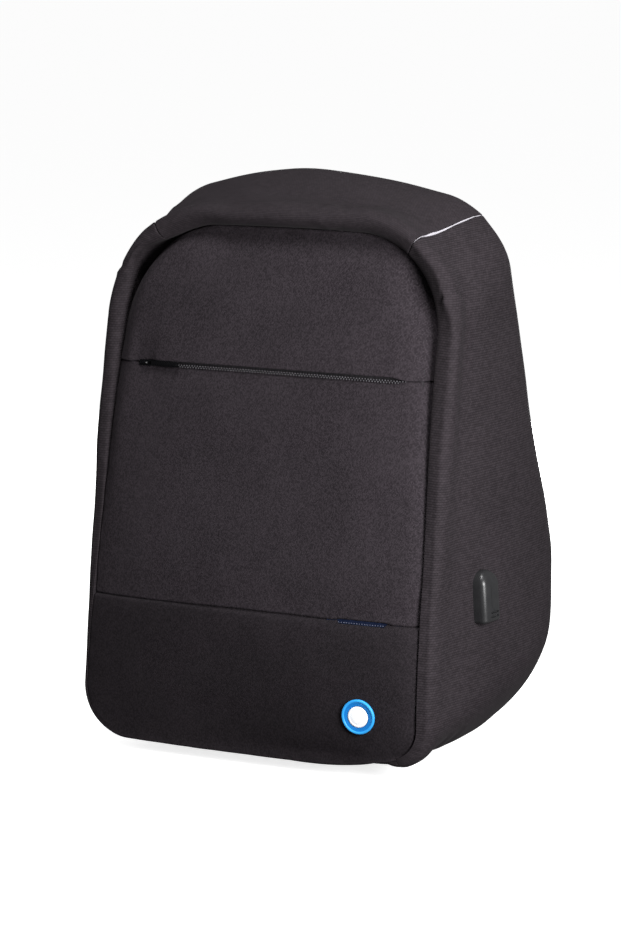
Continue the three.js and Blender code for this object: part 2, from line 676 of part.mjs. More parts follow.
// Height of the side band under a point of the housing's frame, with the gap that the housing keeps
function bandHeightUnder(x, y) {
  const reach = 40;
  const from = housingFrame.localToWorld(new THREE.Vector3(x, y, reach));
  const inward = new THREE.Vector3(0, 0, -1).transformDirection(housingFrame.matrixWorld);
  const hit = new THREE.Raycaster(from, inward).intersectObject(gussetRight)[0];
  return reach - hit.distance + HOUSING.gap;
}

addPart("usb_housing", groovedHousing(bandHeightUnder), HOUSING_GREY, 0.45, 0, housingFrame);

// Back panel: plain and padded, facing away from the front
function backPanelGeometry() {
  const outline = insetOutline(BACK_OUTLINE, BACK_GAP);
  const stations = [...spread(1, 2, 6), ...spread(2.125, 3, 7), ...spread(3.2, 4, 4)];
  const outer = stations.map((station) => {
    const edge = outlinePlace(outline, station).point;
    return spread(edge.x, -edge.x, PANEL_COLUMNS).map((x) => {
      const z = edge.y + archRise(outline, x, edge.y);
      return new THREE.Vector3(x, backFace(x, z), z);
    });
  });
  return wallGeometry(outer, shifted(outer, () => -BACK_WALL));
}

addPart("back_panel", backPanelGeometry(), CHARCOAL, 0.95);

// Shoulder strap laid on the back: padded above, webbing below
function strapGeometry(side) {
  const path = new THREE.QuadraticBezierCurve(
    new THREE.Vector2(STRAP_TOP.x, STRAP_TOP.z),
    new THREE.Vector2(STRAP_BEND.x, STRAP_BEND.z),
    new THREE.Vector2(STRAP_END.x, STRAP_END.z),
  );
  const lay = (place, across, raised) => {
    const middle = path.getPoint(place);
    const heading = path.getTangent(place);
    const offset = (across.share * along(STRAP_SHAPE, "width", place)) / 2;
    const x = side * (middle.x - heading.y * offset);
    const z = middle.y + heading.x * offset;
    const rise = raised ? along(STRAP_SHAPE, "thick", place) * across.thick : 0;
    return new THREE.Vector3(x, backFace(x, z) + STRAP_GAP + rise, z);
  };
  const order = side === RIGHT ? STRAP_ACROSS : [...STRAP_ACROSS].reverse();
  const layer = (raised) => spread(0, 1, STRAP_STEPS).map((place) => {
    return order.map((across) => lay(place, across, raised));
  });
  return wallGeometry(layer(true), layer(false));
}

addPart("shoulder_strap_right", strapGeometry(RIGHT), CHARCOAL, 0.95);
addPart("shoulder_strap_left", strapGeometry(LEFT), CHARCOAL, 0.95);

// Grab handle: a webbing loop that arches away from the back between two flat feet
function handleGeometry() {
  const { z, halfWidth, halfSpan, foot, arch, wall, gap, steps } = HANDLE;
  const places = [-halfSpan - foot, ...spread(-halfSpan, halfSpan, steps), halfSpan + foot];
  const layer = (rise) => [1, -1].map((way) => places.map((x) => {
    const height = z + way * halfWidth;
    const share = Math.max(1 - (x / halfSpan) ** 2, 0);
    return new THREE.Vector3(x, backFace(x, height) + gap + arch * share + rise, height);
  }));
  return wallGeometry(layer(wall), layer(0));
}

addPart("grab_handle", handleGeometry(), CHARCOAL, 0.95);

export default bag;
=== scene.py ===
"""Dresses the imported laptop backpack: cloth shell, front zip, badge, port housing and back harness."""

import logging
import math
from dataclasses import dataclass, replace
from enum import Enum

import bmesh
import bpy
import numpy as np
from bpy.types import GeometryNodeTree, Material, Mesh, Node, NodeSocket, NodeTree, Object
from mathutils import Matrix, Vector
from mathutils.bvhtree import BVHTree
from mathutils.kdtree import KDTree

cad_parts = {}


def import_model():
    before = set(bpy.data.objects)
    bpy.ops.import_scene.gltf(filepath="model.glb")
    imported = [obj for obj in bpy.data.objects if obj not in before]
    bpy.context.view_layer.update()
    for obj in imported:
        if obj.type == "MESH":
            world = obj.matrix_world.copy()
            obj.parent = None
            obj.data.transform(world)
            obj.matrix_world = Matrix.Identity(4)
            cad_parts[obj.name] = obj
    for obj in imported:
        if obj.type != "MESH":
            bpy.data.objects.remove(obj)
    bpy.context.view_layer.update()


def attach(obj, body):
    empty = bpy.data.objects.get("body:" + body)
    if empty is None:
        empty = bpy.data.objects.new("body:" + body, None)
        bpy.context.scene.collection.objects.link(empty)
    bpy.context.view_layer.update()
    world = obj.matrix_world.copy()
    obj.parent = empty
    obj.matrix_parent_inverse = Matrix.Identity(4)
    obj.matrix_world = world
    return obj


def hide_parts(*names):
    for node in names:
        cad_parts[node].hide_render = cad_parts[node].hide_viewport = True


LOG = logging.getLogger("backpack")
MM = 0.001
ORIGIN_DEPTH = 97.0
ZIP_HEIGHT = 282.0
POCKET_HEIGHT = 113.0
TOP_MIDDLE = 5.0
LAP = 10.0
MERGE_DISTANCE = 0.01
SHARP_ANGLE = 40.0
BAG = "bag"
PULLER = "puller"

Array = np.ndarray
Pair = tuple[float, float]
Triple = tuple[float, float, float]
Colour = Triple


class Weave(Enum):
    """How the yarns of a cloth cross."""

    RIB = "rib"
    TWILL = "twill"
    PLAIN = "plain"


@dataclass(frozen=True)
class Table:
    """A short table whose columns are read as smooth curves over its first column."""

    names: tuple[str, ...]
    rows: tuple[tuple[float, ...], ...]
    level_ends: bool = False

    def read(self, name: str, place: Array) -> Array:
        """Reads one column.

        Args:
            name: the column's name.
            place: where to read it, in the units of the first column.

        Returns:
            The column's values there.
        """
        at = np.array([row[0] for row in self.rows])
        value = np.array([row[1 + self.names.index(name)] for row in self.rows])
        last = len(at) - 1
        before = np.maximum(np.arange(last + 1) - 1, 0)
        after = np.minimum(np.arange(last + 1) + 1, last)
        slope = (value[after] - value[before]) / (at[after] - at[before])
        if self.level_ends:
            slope[0] = 0
            slope[last] = 0
        place = np.asarray(place, float)
        first = np.clip(np.searchsorted(at, place) - 1, 0, last - 1)
        step = at[first + 1] - at[first]
        t = np.clip((place - at[first]) / step, 0, 1)
        return (
            value[first] * (2 * t**3 - 3 * t**2 + 1)
            + slope[first] * step * (t**3 - 2 * t**2 + t)
            + value[first + 1] * (3 * t**2 - 2 * t**3)
            + slope[first + 1] * step * (t**3 - t**2)
        )


@dataclass(frozen=True)
class Outline:
    """A rounded trapezoid with an arched top, seen from the front, in millimetres."""

    bottom: float
    top: float
    half_low: float
    half_high: float
    corner_low: float
    corner_high: float
    arch: float
    middle: float
    steep_high: int = 9
    steep_low: int = 4
    border_steps: int = 6000

    def place(self, station: Array) -> tuple[Array, Array]:
        """Points and outward normals of the right half, before the top is arched.

        Args:
            station: 0 bottom middle, 1 to 2 low corner, 3 to 4 high corner, 5 top middle.

        Returns:
            Points and unit normals, as pairs of across and up.
        """
        station = np.asarray(station, float)
        low = np.array([self.half_low, self.bottom])
        high = np.array([self.half_high, self.top])
        side = (high - low) / np.linalg.norm(high - low)
        turn = math.atan2(side[1], side[0])
        low_cut = self.corner_low * math.tan(turn / 2)
        high_cut = self.corner_high * math.tan((math.pi - turn) / 2)
        stretch = np.clip(np.floor(station), 0, 4)
        t = (station - stretch)[..., None]
        start = low + side * low_cut
        end = high - side * high_cut
        low_angle = -math.pi / 2 + turn * t
        lean = np.concatenate([np.cos(low_angle), np.sin(low_angle)], -1)
        high_angle = turn - math.pi / 2 + (math.pi - turn) * t
        fall = np.concatenate([np.cos(high_angle), np.sin(high_angle)], -1)
        low_centre = np.array([low[0] - low_cut, low[1] + self.corner_low])
        high_centre = np.array([high[0] - high_cut, high[1] - self.corner_high])
        shape = (*station.shape, 2)
        points = [
            np.concatenate([(low[0] - low_cut) * t, self.middle + (low[1] - self.middle) * t**3], -1),
            low_centre + self.corner_low * lean,
            start + (end - start) * t,
            high_centre + self.corner_high * fall,
            np.concatenate([(high[0] - high_cut) * (1 - t), np.full_like(t, high[1])], -1),
        ]
        normals = [(0.0, -1.0), lean, (side[1], -side[0]), fall, (0.0, 1.0)]
        which = [(stretch == i)[..., None] for i in range(5)]
        return (
            np.select(which, [np.broadcast_to(p, shape) for p in points]),
            np.select(which, [np.broadcast_to(np.asarray(n), shape) for n in normals]),
        )

    def rise(self, x: Array, z: Array) -> Array:
        """How far the arched top lifts a point."""
        up = np.clip((z - self.bottom) / (self.top - self.bottom), 0, 1)
        return self.arch * np.maximum(1 - (x / self.half_high) ** 2, 0) * up**4

    def inset(self, gap: float) -> "Outline":
        """The same outline, smaller by a gap all round."""
        return replace(
            self,
            bottom=self.bottom + gap,
            middle=self.middle + gap,
            top=self.top - gap,
            half_low=self.half_low - gap,
            half_high=self.half_high - gap,
            corner_low=self.corner_low - gap,
            corner_high=self.corner_high - gap,
        )

    def side_station(self, height: float) -> float:
        """The station on the straight side at a height."""
        start, end = self.place(np.array([2.0, 2.999999]))[0][:, 1]
        return 2 + (height - start) / (end - start)

    def distance(self, x: Array, z: Array) -> tuple[Array, Array]:
        """How far points are from the outline.

        Args:
            x: across, without its sign.
            z: up.

        Returns:
            Distances in millimetres, and the stations of the nearest places.
        """
        stations = np.linspace(0, TOP_MIDDLE, self.border_steps)
        border = self.place(stations)[0]
        border[:, 1] += self.rise(border[:, 0], border[:, 1])
        tree = KDTree(len(border))
        for order, (a, b) in enumerate(border):
            tree.insert((a, b, 0), order)
        tree.balance()
        found = [tree.find((a, b, 0)) for a, b in zip(x.ravel(), z.ravel())]
        away = np.array([item[2] for item in found]).reshape(x.shape)
        return away, stations[[item[1] for item in found]].reshape(x.shape)

    def crown(self, x: Array, z: Array) -> Array:
        """Share of fullness between the edges, highest in the middle.

        Args:
            x: places across the bag.
            z: their heights.

        Returns:
            Shares from 0 to 1.
        """
        up = np.abs(2 * (z - self.bottom) / (self.top - self.bottom) - 1)
        steep = np.where(z > (self.bottom + self.top) / 2, self.steep_high, self.steep_low)
        return (1 - (x / self.half_low) ** 4) * (1 - np.minimum(up, 1) ** steep)


@dataclass(frozen=True)
class Fold:
    """A soft crease: its place on the surface, its length and width in millimetres, the way it runs,
    how deep it goes and how much cloth stands up beside it."""

    side: int
    station: float
    row: float
    length: float
    width: float
    turn: float
    depth: float
    ridge: float = 0.5


@dataclass(frozen=True)
class Dent:
    """A broad soft hollow of the band: its side, 0 for both, its place, its spread and its depth."""

    side: int
    station: float
    row: float
    stations: float
    rows: float
    depth: float

    def read(self, side: Array, station: Array, row: Array) -> Array:
        """How deep it is at places on the band.

        Args:
            side: 1 on the right and -1 on the left.
            station: places round the bag.
            row: places from the front seam to the back seam.

        Returns:
            Millimetres inwards.
        """
        along, across = (station - self.station) / self.stations, (row - self.row) / self.rows
        near = np.exp(-(along**2) - across**2)
        return np.where((self.side == 0) | (self.side == side), self.depth * near, 0)


@dataclass(frozen=True)
class Shell:
    """The bag's stuffed form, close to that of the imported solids, in design millimetres."""

    front: Outline = Outline(14, 379, 136, 126, 24, 70, 3, 14)
    front_right: Outline = Outline(19, 379, 131.5, 126.3, 23, 70, 3, 10.8)
    front_left: Outline = Outline(11.5, 379, 138.8, 124.5, 36, 70, 3, 10.8)
    back: Outline = Outline(22, 391, 147, 133, 74, 37, 12, 22)
    profile: Table = Table(
        ("front", "back"),
        ((0, 0.5, 176), (60, 2.4, 178), (113, 8.2, 185.5), (155, 15, 187), (280, 33, 152), (410, 66, 122)),
    )
    shape_right: Table = Table(
        ("rim", "ahead", "swell", "slant"),
        (
            (0, 0.5, 0, 22, 0), (0.7, 0.5, 0, 22, 0), (1, 4, 0.5, 14.5, 1),
            (1.4, 9, 1.2, 12.5, 1), (2, 10, 2, 16.5, 1), (2.5, 11.5, 3.5, 13, 1),
            (2.9, 16, 5, 10.5, 1), (3.2, 18, 9, 8.5, 1), (3.5, 17, 11, 7.5, 0.8),
            (4, 16, 11.5, 10.8, 0.2), (5, 16, 11.5, 19.2, 0),
        ),
        level_ends=True,
    )
    shape_left: Table = Table(
        ("rim", "ahead", "swell", "slant"),
        (
            (0, 0.5, 0, 22, 0), (0.7, 0.5, 0, 22, 0), (1, 0.4, 0, 17, 0),
            (1.5, 0.4, 0, 14, 0), (2, 2.2, 0, 17.5, 0), (2.5, 9, 1, 13, 0),
            (2.75, 11, 2.4, 11.6, 0), (3, 12, 4, 10.8, 0), (3.3, 15.5, 4, 8.8, 0),
            (3.5, 16.5, 5, 7.8, 0), (3.8, 15, 8, 10, 0.3), (4.2, 13, 10.5, 15, 0.1),
            (4.6, 15, 11.2, 18.3, 0), (5, 16, 11.5, 19.2, 0),
        ),
        level_ends=True,
    )
    section: Table = Table(
        ("depth", "rim", "ahead", "slanted", "swell", "wall", "slot"),
        (
            (0, 0, 0, 0, 0, 0, 0.5, 0), (1, 0.004, 0.14, 0.66, 0.3, 0, 0.5, 0),
            (2, 0.009, 0.42, 1, 0.66, 0, 0.5, 0), (3, 0.016, 0.76, 0.9, 1, 0.02, 0.7, 0),
            (4, 0.04, 0.96, 0.5, 0.72, 0.08, 0.9, 0.4),
            (5, 0.09, 0.81, 0.1, 0.1, 0.25, 1, 1), (6, 0.2, 0.47, 0, 0, 0.58, 1, 1),
            (7, 0.4, 0.35, 0, 0, 0.84, 1, 1), (8, 0.6, 0.24, 0, 0, 1, 1, 1),
            (9, 0.78, 0.13, 0, 0, 1, 1, 1), (10, 0.9, 0.06, 0, 0, 0.86, 1, 0.8),
            (11, 0.97, 0.02, 0, 0, 0.54, 0.7, 0.4), (12, 1, 0, 0, 0, 0, 0.4, 0),
        ),
    )
    dents: tuple[Dent, ...] = (
        Dent(1, 3.25, 3, 0.08, 1.0, 2.0),
        Dent(-1, 3.3, 0.8, 0.06, 0.7, 1.2),
        Dent(1, 2.4, 5.7, 0.75, 0.7, 1.6),
        Dent(-1, 4.1, 6.0, 0.5, 1.0, -2.6),
        Dent(0, 5, 6.1, 1.0, 0.8, 1.0),
        Dent(1, 1.35, 6, 0.35, 1.4, 4.5),
        Dent(-1, 3.85, 8.5, 0.35, 2.6, 4.5),
        Dent(1, 3.6, 5.9, 0.25, 0.7, -2.4),
    )
    dent_gain: float = 2
    groove_at: float = 3.42
    groove_width: float = 0.16
    groove_open: float = 9.0
    groove_gain: float = 1.1
    groove_rows: float = 3
    front_crown: float = 6
    back_crown: float = 6
    low_top: float = POCKET_HEIGHT
    low_tilt: float = 1.2
    low_ease: float = 1.3
    low_middle: Pair = (56, 66)
    low_half: Pair = (76, 47)
    low_bulge: float = 4.0
    under_end: float = 1.6
    under_span: float = 0.6
    under_rows: float = 6

    def recede(self, x: Array, z: Array) -> Array:
        """How far the lower panel lies back: more towards its bottom, less where its pocket bulges.

        Args:
            x: places across the bag.
            z: their heights.

        Returns:
            Millimetres.
        """
        climb = np.clip(z / self.low_top, 0, 1)
        across = np.clip((x - self.low_middle[0]) / self.low_half[0], -1, 1)
        up = np.clip((z - self.low_middle[1]) / self.low_half[1], -1, 1)
        full = np.where(across < 0, (1 - across**2) ** 2, 1 - across**4) * (1 - up**4)
        return self.low_tilt * (1 - climb) ** self.low_ease - self.low_bulge * full

    def front_face(self, x: Array, z: Array) -> Array:
        """How far back the front face stands at a point."""
        return self.profile.read("front", z) - self.front_crown * self.front.crown(x, z)

    def back_face(self, x: Array, z: Array) -> Array:
        """How far back the back face stands at a point."""
        return self.profile.read("back", z) + self.back_crown * self.back.crown(x, z)

    def band(self, way: Array, row: Array) -> Array:
        """Points on the outside of the band.

        Args:
            way: place round the bag: 0 bottom middle, 5 top middle, rising on the right side;
                below 0 and past 5 it runs on down the left side.
            row: place from the front seam, 0, to the back seam, 12.

        Returns:
            Points in design millimetres.
        """
        way, row = np.broadcast_arrays(np.asarray(way, float), np.asarray(row, float))
        side = np.where((way < 0) | (way > TOP_MIDDLE), -1.0, 1.0)
        station = np.where(way < 0, -way, np.where(way > TOP_MIDDLE, LAP - way, way))
        right, right_normal = self.front_right.place(station)
        left, left_normal = self.front_left.place(station)
        on_right = (side > 0)[..., None]
        front = np.where(on_right, right, left)
        front_normal = np.where(on_right, right_normal, left_normal)
        back, back_normal = self.back.place(station)
        front[..., 1] += self.front.rise(front[..., 0], front[..., 1])
        back[..., 1] += self.back.rise(back[..., 0], back[..., 1])
        outward = front_normal + back_normal
        outward /= np.linalg.norm(outward, axis=-1, keepdims=True)
        share = {name: self.section.read(name, row) for name in self.section.names}
        dent = sum(spot.read(side, station, row) for spot in self.dents)
        shapes = self.shape_right, self.shape_left
        form = {
            name: np.where(side > 0, *(shape.read(name, station) for shape in shapes))
            for name in self.shape_right.names
        }
        out = form["rim"] * share["rim"] + form["swell"] * share["swell"]
        out -= dent * np.minimum(share["rim"] * self.dent_gain, 1)
        near = np.exp(-(((station - self.groove_at) / self.groove_width) ** 2))
        gaping = np.where(side < 0, self.groove_open * near, 0)
        fading = 1 - np.minimum(share["rim"] * self.groove_gain, 1)
        out += gaping * fading * np.clip(self.groove_rows - row, 0, 1)
        flat = front + (back - front) * share["depth"][..., None] + outward * out[..., None]
        front_depth = self.profile.read("front", front[..., 1])
        back_depth = self.profile.read("back", back[..., 1])
        depth = front_depth + (back_depth - front_depth) * share["depth"]
        depth -= form["ahead"] * (share["ahead"] + (share["slanted"] - share["ahead"]) * form["slant"])
        under = np.clip((self.under_end - station) / self.under_span, 0, 1)
        under = under * np.clip(1 - row / self.under_rows, 0, 1)
        depth += self.recede(side * flat[..., 0], flat[..., 1]) * under
        return np.stack([side * flat[..., 0], depth, np.maximum(flat[..., 1], 0)], -1)

    def front_frame(self, x: float, z: float) -> Matrix:
        """Frame with X to the right, Y up and Z out of the front face at a point.

        Args:
            x: the point's place across the bag.
            z: its height.

        Returns:
            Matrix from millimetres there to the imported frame.
        """
        right = Vector((2, self.front_face(x + 1, z) - self.front_face(x - 1, z), 0)).normalized()
        up = Vector((0, self.front_face(x, z + 1) - self.front_face(x, z - 1), 2))
        out = right.cross(up).normalized()
        spot = packed(np.array([x, float(self.front_face(x, z)), z]))
        return framed(right, out.cross(right), out, Vector(spot))


SHELL = Shell()


def packed(points: Array) -> Array:
    """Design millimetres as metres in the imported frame."""
    return (np.asarray(points, float) - (0, ORIGIN_DEPTH, 0)) * MM


def framed(right: Vector, up: Vector, out: Vector, spot: Vector) -> Matrix:
    """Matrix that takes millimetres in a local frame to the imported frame."""
    matrix = Matrix((right, up, out)).transposed().to_4x4()
    return Matrix.Translation(spot) @ matrix @ Matrix.Scale(MM, 4)


def soft_noise(points: Array, size: float, seed: int) -> Array:
    """Gentle unevenness from about -1 to 1, the same on every run.

    Args:
        points: places in millimetres.
        size: usual length of a wave in millimetres.
        seed: which pattern.

    Returns:
        One value for each place.
    """
    chance = np.random.default_rng(seed)
    waves, shortest, longest, calm = 9, 0.6, 1.5, 0.75
    ways = chance.normal(size=(waves, 3))
    ways /= np.linalg.norm(ways, axis=1, keepdims=True)
    lengths = size * chance.uniform(shortest, longest, waves)
    phases = chance.uniform(0, 2 * math.pi, waves)
    swing = np.sin(points @ (ways / lengths[:, None]).T * 2 * math.pi + phases)
    return swing.sum(-1) * calm / math.sqrt(waves)


@dataclass(frozen=True)
class Wave:
    """One soft unevenness: its height and size in millimetres, and which run of noise it takes."""

    height: float
    size: float
    seed: int

    def read(self, points: Array, share: Array | float = 1.0) -> Array:
        """How high it is at points, of which each has its share."""
        return self.height * share * soft_noise(points, self.size, self.seed)


def roll(distance: Array, radius: float) -> Array:
    """How far a rounded edge falls back at a distance from it."""
    near = np.clip(radius - distance, 0, radius)
    return radius - np.sqrt(radius**2 - near**2)


def edge_steps(length: float, step: float, fine: tuple[float, ...]) -> Array:
    """Places along a length, close together at both ends.

    Args:
        length: the whole length.
        step: the usual distance between places.
        fine: distances from each end for the close places, from 0 up.

    Returns:
        Places from 0 to the length.
    """
    count = max(2, round((length - 2 * fine[-1]) / step))
    middle = np.linspace(fine[-1], length - fine[-1], count + 1)
    return np.concatenate([fine[:-1], middle, length - np.array(fine[-2::-1])])


def grid_normals(points: Array, spread: int = 0) -> Array:
    """Unit normals of a grid of points, on the side that its columns and rows face.

    Args:
        points: the grid.
        spread: how many columns on each side share in a normal, the wide ones most.

    Returns:
        One normal for each point.
    """
    normals = np.cross(np.gradient(points, axis=1), np.gradient(points, axis=0))
    if spread:
        padded = np.pad(normals, ((0, 0), (spread + 1, spread), (0, 0)), "edge")
        sums = np.cumsum(padded, axis=1)
        normals = sums[:, 2 * spread + 1:] - sums[:, : -2 * spread - 1]
    return normals / np.maximum(np.linalg.norm(normals, axis=-1, keepdims=True), 1e-9)


def run_length(points: Array, axis: int) -> Array:
    """Distance run along one axis of a grid of points, in metres."""
    steps = np.diff(points, axis=axis, prepend=np.take(points, [0], axis=axis))
    return np.cumsum(np.linalg.norm(steps, axis=-1), axis=axis) * MM


def cloth_lengths(points: Array, first: int) -> Array:
    """Metres along a grid of cloth, along the first axis given and then along the other one."""
    return np.stack([run_length(points, first), run_length(points, 1 - first)], -1)


def mesh_object(name: str, points: Array, faces: Array, uv: Array | None = None) -> Object:
    """A smooth-shaded object from points in metres.

    Args:
        name: the piece's name.
        points: one row per vertex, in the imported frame.
        faces: one row of vertex numbers per face.
        uv: one pair per vertex, in metres along the cloth.

    Returns:
        The object, linked to the scene.
    """
    mesh = bpy.data.meshes.new(name)
    mesh.from_pydata(np.asarray(points).tolist(), [], np.asarray(faces).tolist())
    if uv is not None:
        layer = mesh.uv_layers.new(name="cloth")
        corner = np.empty(len(mesh.loops), np.int32)
        mesh.loops.foreach_get("vertex_index", corner)
        layer.data.foreach_set("uv", np.asarray(uv, np.float32)[corner].ravel())
    mesh.polygons.foreach_set("use_smooth", np.ones(len(mesh.polygons), bool))
    obj = bpy.data.objects.new(name, mesh)
    bpy.context.scene.collection.objects.link(obj)
    return obj


def wall_object(name: str, outer: Array, inner: Array, uv: Array) -> Object:
    """A closed wall between two grids.

    Args:
        name: the piece's name.
        outer: outside points, in design millimetres.
        inner: inside points, as many.
        uv: metres along the cloth, one pair per outside point.

    Returns:
        The wall's object.
    """
    rows, columns = outer.shape[:2]
    top = np.arange(rows * columns).reshape(rows, columns)
    low = top + rows * columns
    around = [
        (top[:-1, :-1], top[:-1, 1:], top[1:, 1:], top[1:, :-1]),
        (low[:-1, :-1], low[1:, :-1], low[1:, 1:], low[:-1, 1:]),
        (top[:-1, 0], top[1:, 0], low[1:, 0], low[:-1, 0]),
        (top[1:, -1], top[:-1, -1], low[:-1, -1], low[1:, -1]),
        (top[0, 1:], top[0, :-1], low[0, :-1], low[0, 1:]),
        (top[-1, :-1], top[-1, 1:], low[-1, 1:], low[-1, :-1]),
    ]
    faces = np.concatenate([np.stack(quad, -1).reshape(-1, 4) for quad in around])
    points = packed(np.concatenate([outer.reshape(-1, 3), inner.reshape(-1, 3)]))
    flat = uv.reshape(-1, 2)
    return mesh_object(name, points, faces, np.concatenate([flat, flat]))


def turned_object(name: str, profile: tuple[Pair, ...], steps: int, frame: Matrix) -> Object:
    """A solid of revolution, with its radius and height as UV.

    Args:
        name: the piece's name.
        profile: radius and height pairs in millimetres, from the axis at the bottom to the axis at the top.
        steps: faces round the axis.
        frame: where it stands.

    Returns:
        The object.
    """
    angles = np.linspace(0, 2 * math.pi, steps, endpoint=False)
    inner = profile[1:-1]
    points = [(r * math.cos(a), r * math.sin(a), h) for r, h in inner for a in angles]
    uv = [(r * MM, h * MM) for r, h in inner for _ in angles]
    ring = np.arange(steps)
    after = (ring + 1) % steps
    faces = []
    for level in range(len(inner) - 1):
        a, b = level * steps, (level + 1) * steps
        faces += np.stack([a + ring, a + after, b + after, b + ring], -1).tolist()
    for (radius, height), first, order in ((profile[0], 0, -1), (profile[-1], (len(inner) - 1) * steps, 1)):
        points.append((radius, 0.0, height))
        uv.append((radius * MM, height * MM))
        hub = len(points) - 1
        ends = np.stack([first + ring, first + after, np.full(steps, hub)], -1)
        faces += ends[:, ::order].tolist()
    moved = [frame @ Vector(point) for point in points]
    return mesh_object(name, np.array(moved), np.array(faces, dtype=object), np.array(uv))


def rounded_rectangle(left: float, right: float, low: float, high: float, corner: float) -> list[Pair]:
    """A rectangle with rounded corners.

    Args:
        left: its left edge.
        right: its right edge.
        low: its lower edge.
        high: its upper edge.
        corner: radius of its corners.

    Returns:
        Points round it, in millimetres.
    """
    corner_steps = 7
    points = []
    for x, y, start in (
        (right - corner, low + corner, -0.5), (right - corner, high - corner, 0.0),
        (left + corner, high - corner, 0.5), (left + corner, low + corner, 1.0),
    ):
        for angle in np.linspace(start, start + 0.5, corner_steps) * math.pi:
            points.append((x + corner * math.cos(angle), y + corner * math.sin(angle)))
    return points


def plate_mesh(outlines: list[list[Pair]], low: float, high: float, bevel: float, frame: Matrix) -> Mesh:
    """A flat plate with rounded edges, and holes where outlines lie inside others.

    Args:
        outlines: closed outlines in millimetres.
        low: height of its underside.
        high: height of its top.
        bevel: radius of its edges.
        frame: where it stands.

    Returns:
        The plate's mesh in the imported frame.
    """
    curve = bpy.data.curves.new("plate", "CURVE")
    curve.dimensions = "2D"
    curve.fill_mode = "BOTH"
    curve.extrude = (high - low) / 2 - bevel
    curve.bevel_depth = bevel
    curve.bevel_resolution = 2
    curve.offset = -bevel
    for outline in outlines:
        spline = curve.splines.new("POLY")
        spline.points.add(len(outline) - 1)
        spline.points.foreach_set("co", [c for x, y in outline for c in (x, y, 0, 1)])
        spline.use_cyclic_u = True
    holder = bpy.data.objects.new("plate", curve)
    mesh = bpy.data.meshes.new_from_object(holder)
    bpy.data.objects.remove(holder)
    bpy.data.curves.remove(curve)
    mesh.transform(frame @ Matrix.Translation((0, 0, (low + high) / 2)))
    return mesh


@dataclass(frozen=True)
class Plate:
    """A rounded plate: its edges and corners, its underside and top, and the radius of its rim."""

    left: float
    right: float
    low: float
    high: float
    corner: float
    under: float
    top: float
    rim: float

    def outline(self) -> list[Pair]:
        """Its outline."""
        return rounded_rectangle(self.left, self.right, self.low, self.high, self.corner)

    def mesh(self, frame: Matrix, *holes: list[Pair]) -> Mesh:
        """Its mesh in a frame, with holes."""
        return plate_mesh([self.outline(), *holes], self.under, self.top, self.rim, frame)


def joined_object(name: str, meshes: list[Mesh]) -> Object:
    """One object from several meshes, with doubles merged and faces outwards.

    Args:
        name: the piece's name.
        meshes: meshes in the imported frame, used up here.

    Returns:
        The object.
    """
    work = bmesh.new()
    for mesh in meshes:
        work.from_mesh(mesh)
        bpy.data.meshes.remove(mesh)
    bmesh.ops.remove_doubles(work, verts=work.verts, dist=MERGE_DISTANCE * MM)
    bmesh.ops.recalc_face_normals(work, faces=work.faces)
    mesh = bpy.data.meshes.new(name)
    work.to_mesh(mesh)
    work.free()
    obj = bpy.data.objects.new(name, mesh)
    bpy.context.scene.collection.objects.link(obj)
    mesh.shade_smooth()
    mesh.set_sharp_from_angle(angle=math.radians(SHARP_ANGLE))
    return obj


class NodeBoard:
    """Adds and joins nodes of one tree."""

    def __init__(self, tree: NodeTree) -> None:
        """Keeps the tree."""
        self.tree = tree

    def add(self, kind: str, inputs: dict[str | int, object] | None = None, **settings: object) -> Node:
        """Adds a node.

        Args:
            kind: the node's type.
            inputs: values or sockets for its inputs.
            settings: its own settings.

        Returns:
            The node.
        """
        node = self.tree.nodes.new(kind)
        for name, value in settings.items():
            setattr(node, name, value)
        for key, value in (inputs or {}).items():
            if isinstance(value, NodeSocket):
                self.tree.links.new(value, node.inputs[key])
            else:
                node.inputs[key].default_value = value
        return node

    def maths(self, operation: str, *values: object) -> NodeSocket:
        """The result of a Math node on values or sockets."""
        kind = "ShaderNodeMath"
        return self.add(kind, dict(enumerate(values)), operation=operation).outputs[0]


def flattened(obj: Object) -> Mesh:
    """Takes what an object's modifiers make as its plain mesh, smooth and without them.

    Args:
        obj: the object, changed in place.

    Returns:
        Its new mesh.
    """
    before = obj.data
    seen = obj.evaluated_get(bpy.context.evaluated_depsgraph_get())
    plain = bpy.data.meshes.new_from_object(seen)
    obj.modifiers.clear()
    obj.data = plain
    bpy.data.meshes.remove(before)
    plain.shade_smooth()
    return plain


def felt(cloth: Object, frame: Matrix, places: Array | tuple[Pair, ...], reach: float) -> list[Vector]:
    """Where straight feelers that come down on a frame meet a cloth.

    Args:
        cloth: the cloth.
        frame: frame whose Z the feelers follow down.
        places: where they come down, across and up.
        reach: height from which they come, in millimetres.

    Returns:
        The points that they meet.
    """
    tree = BVHTree.FromObject(cloth, bpy.context.evaluated_depsgraph_get())
    inward = -(frame.to_3x3() @ Vector((0, 0, 1))).normalized()
    return [tree.ray_cast(frame @ Vector((x, y, reach)), inward)[0] for x, y in places]


def group_with(name: str, inputs: dict[str, tuple[str, float]], outputs: tuple[str, ...]) -> NodeTree:
    """A shader node group with named sockets.

    Args:
        name: the group's name.
        inputs: socket type and starting value by name.
        outputs: names of its value outputs.

    Returns:
        The group, still without nodes.
    """
    tree = bpy.data.node_groups.new(name, "ShaderNodeTree")
    for label, (kind, value) in inputs.items():
        socket = tree.interface.new_socket(label, in_out="INPUT", socket_type=kind)
        if kind == "NodeSocketFloat":
            socket.default_value = value
    for label in outputs:
        tree.interface.new_socket(label, in_out="OUTPUT", socket_type="NodeSocketFloat")
    return tree


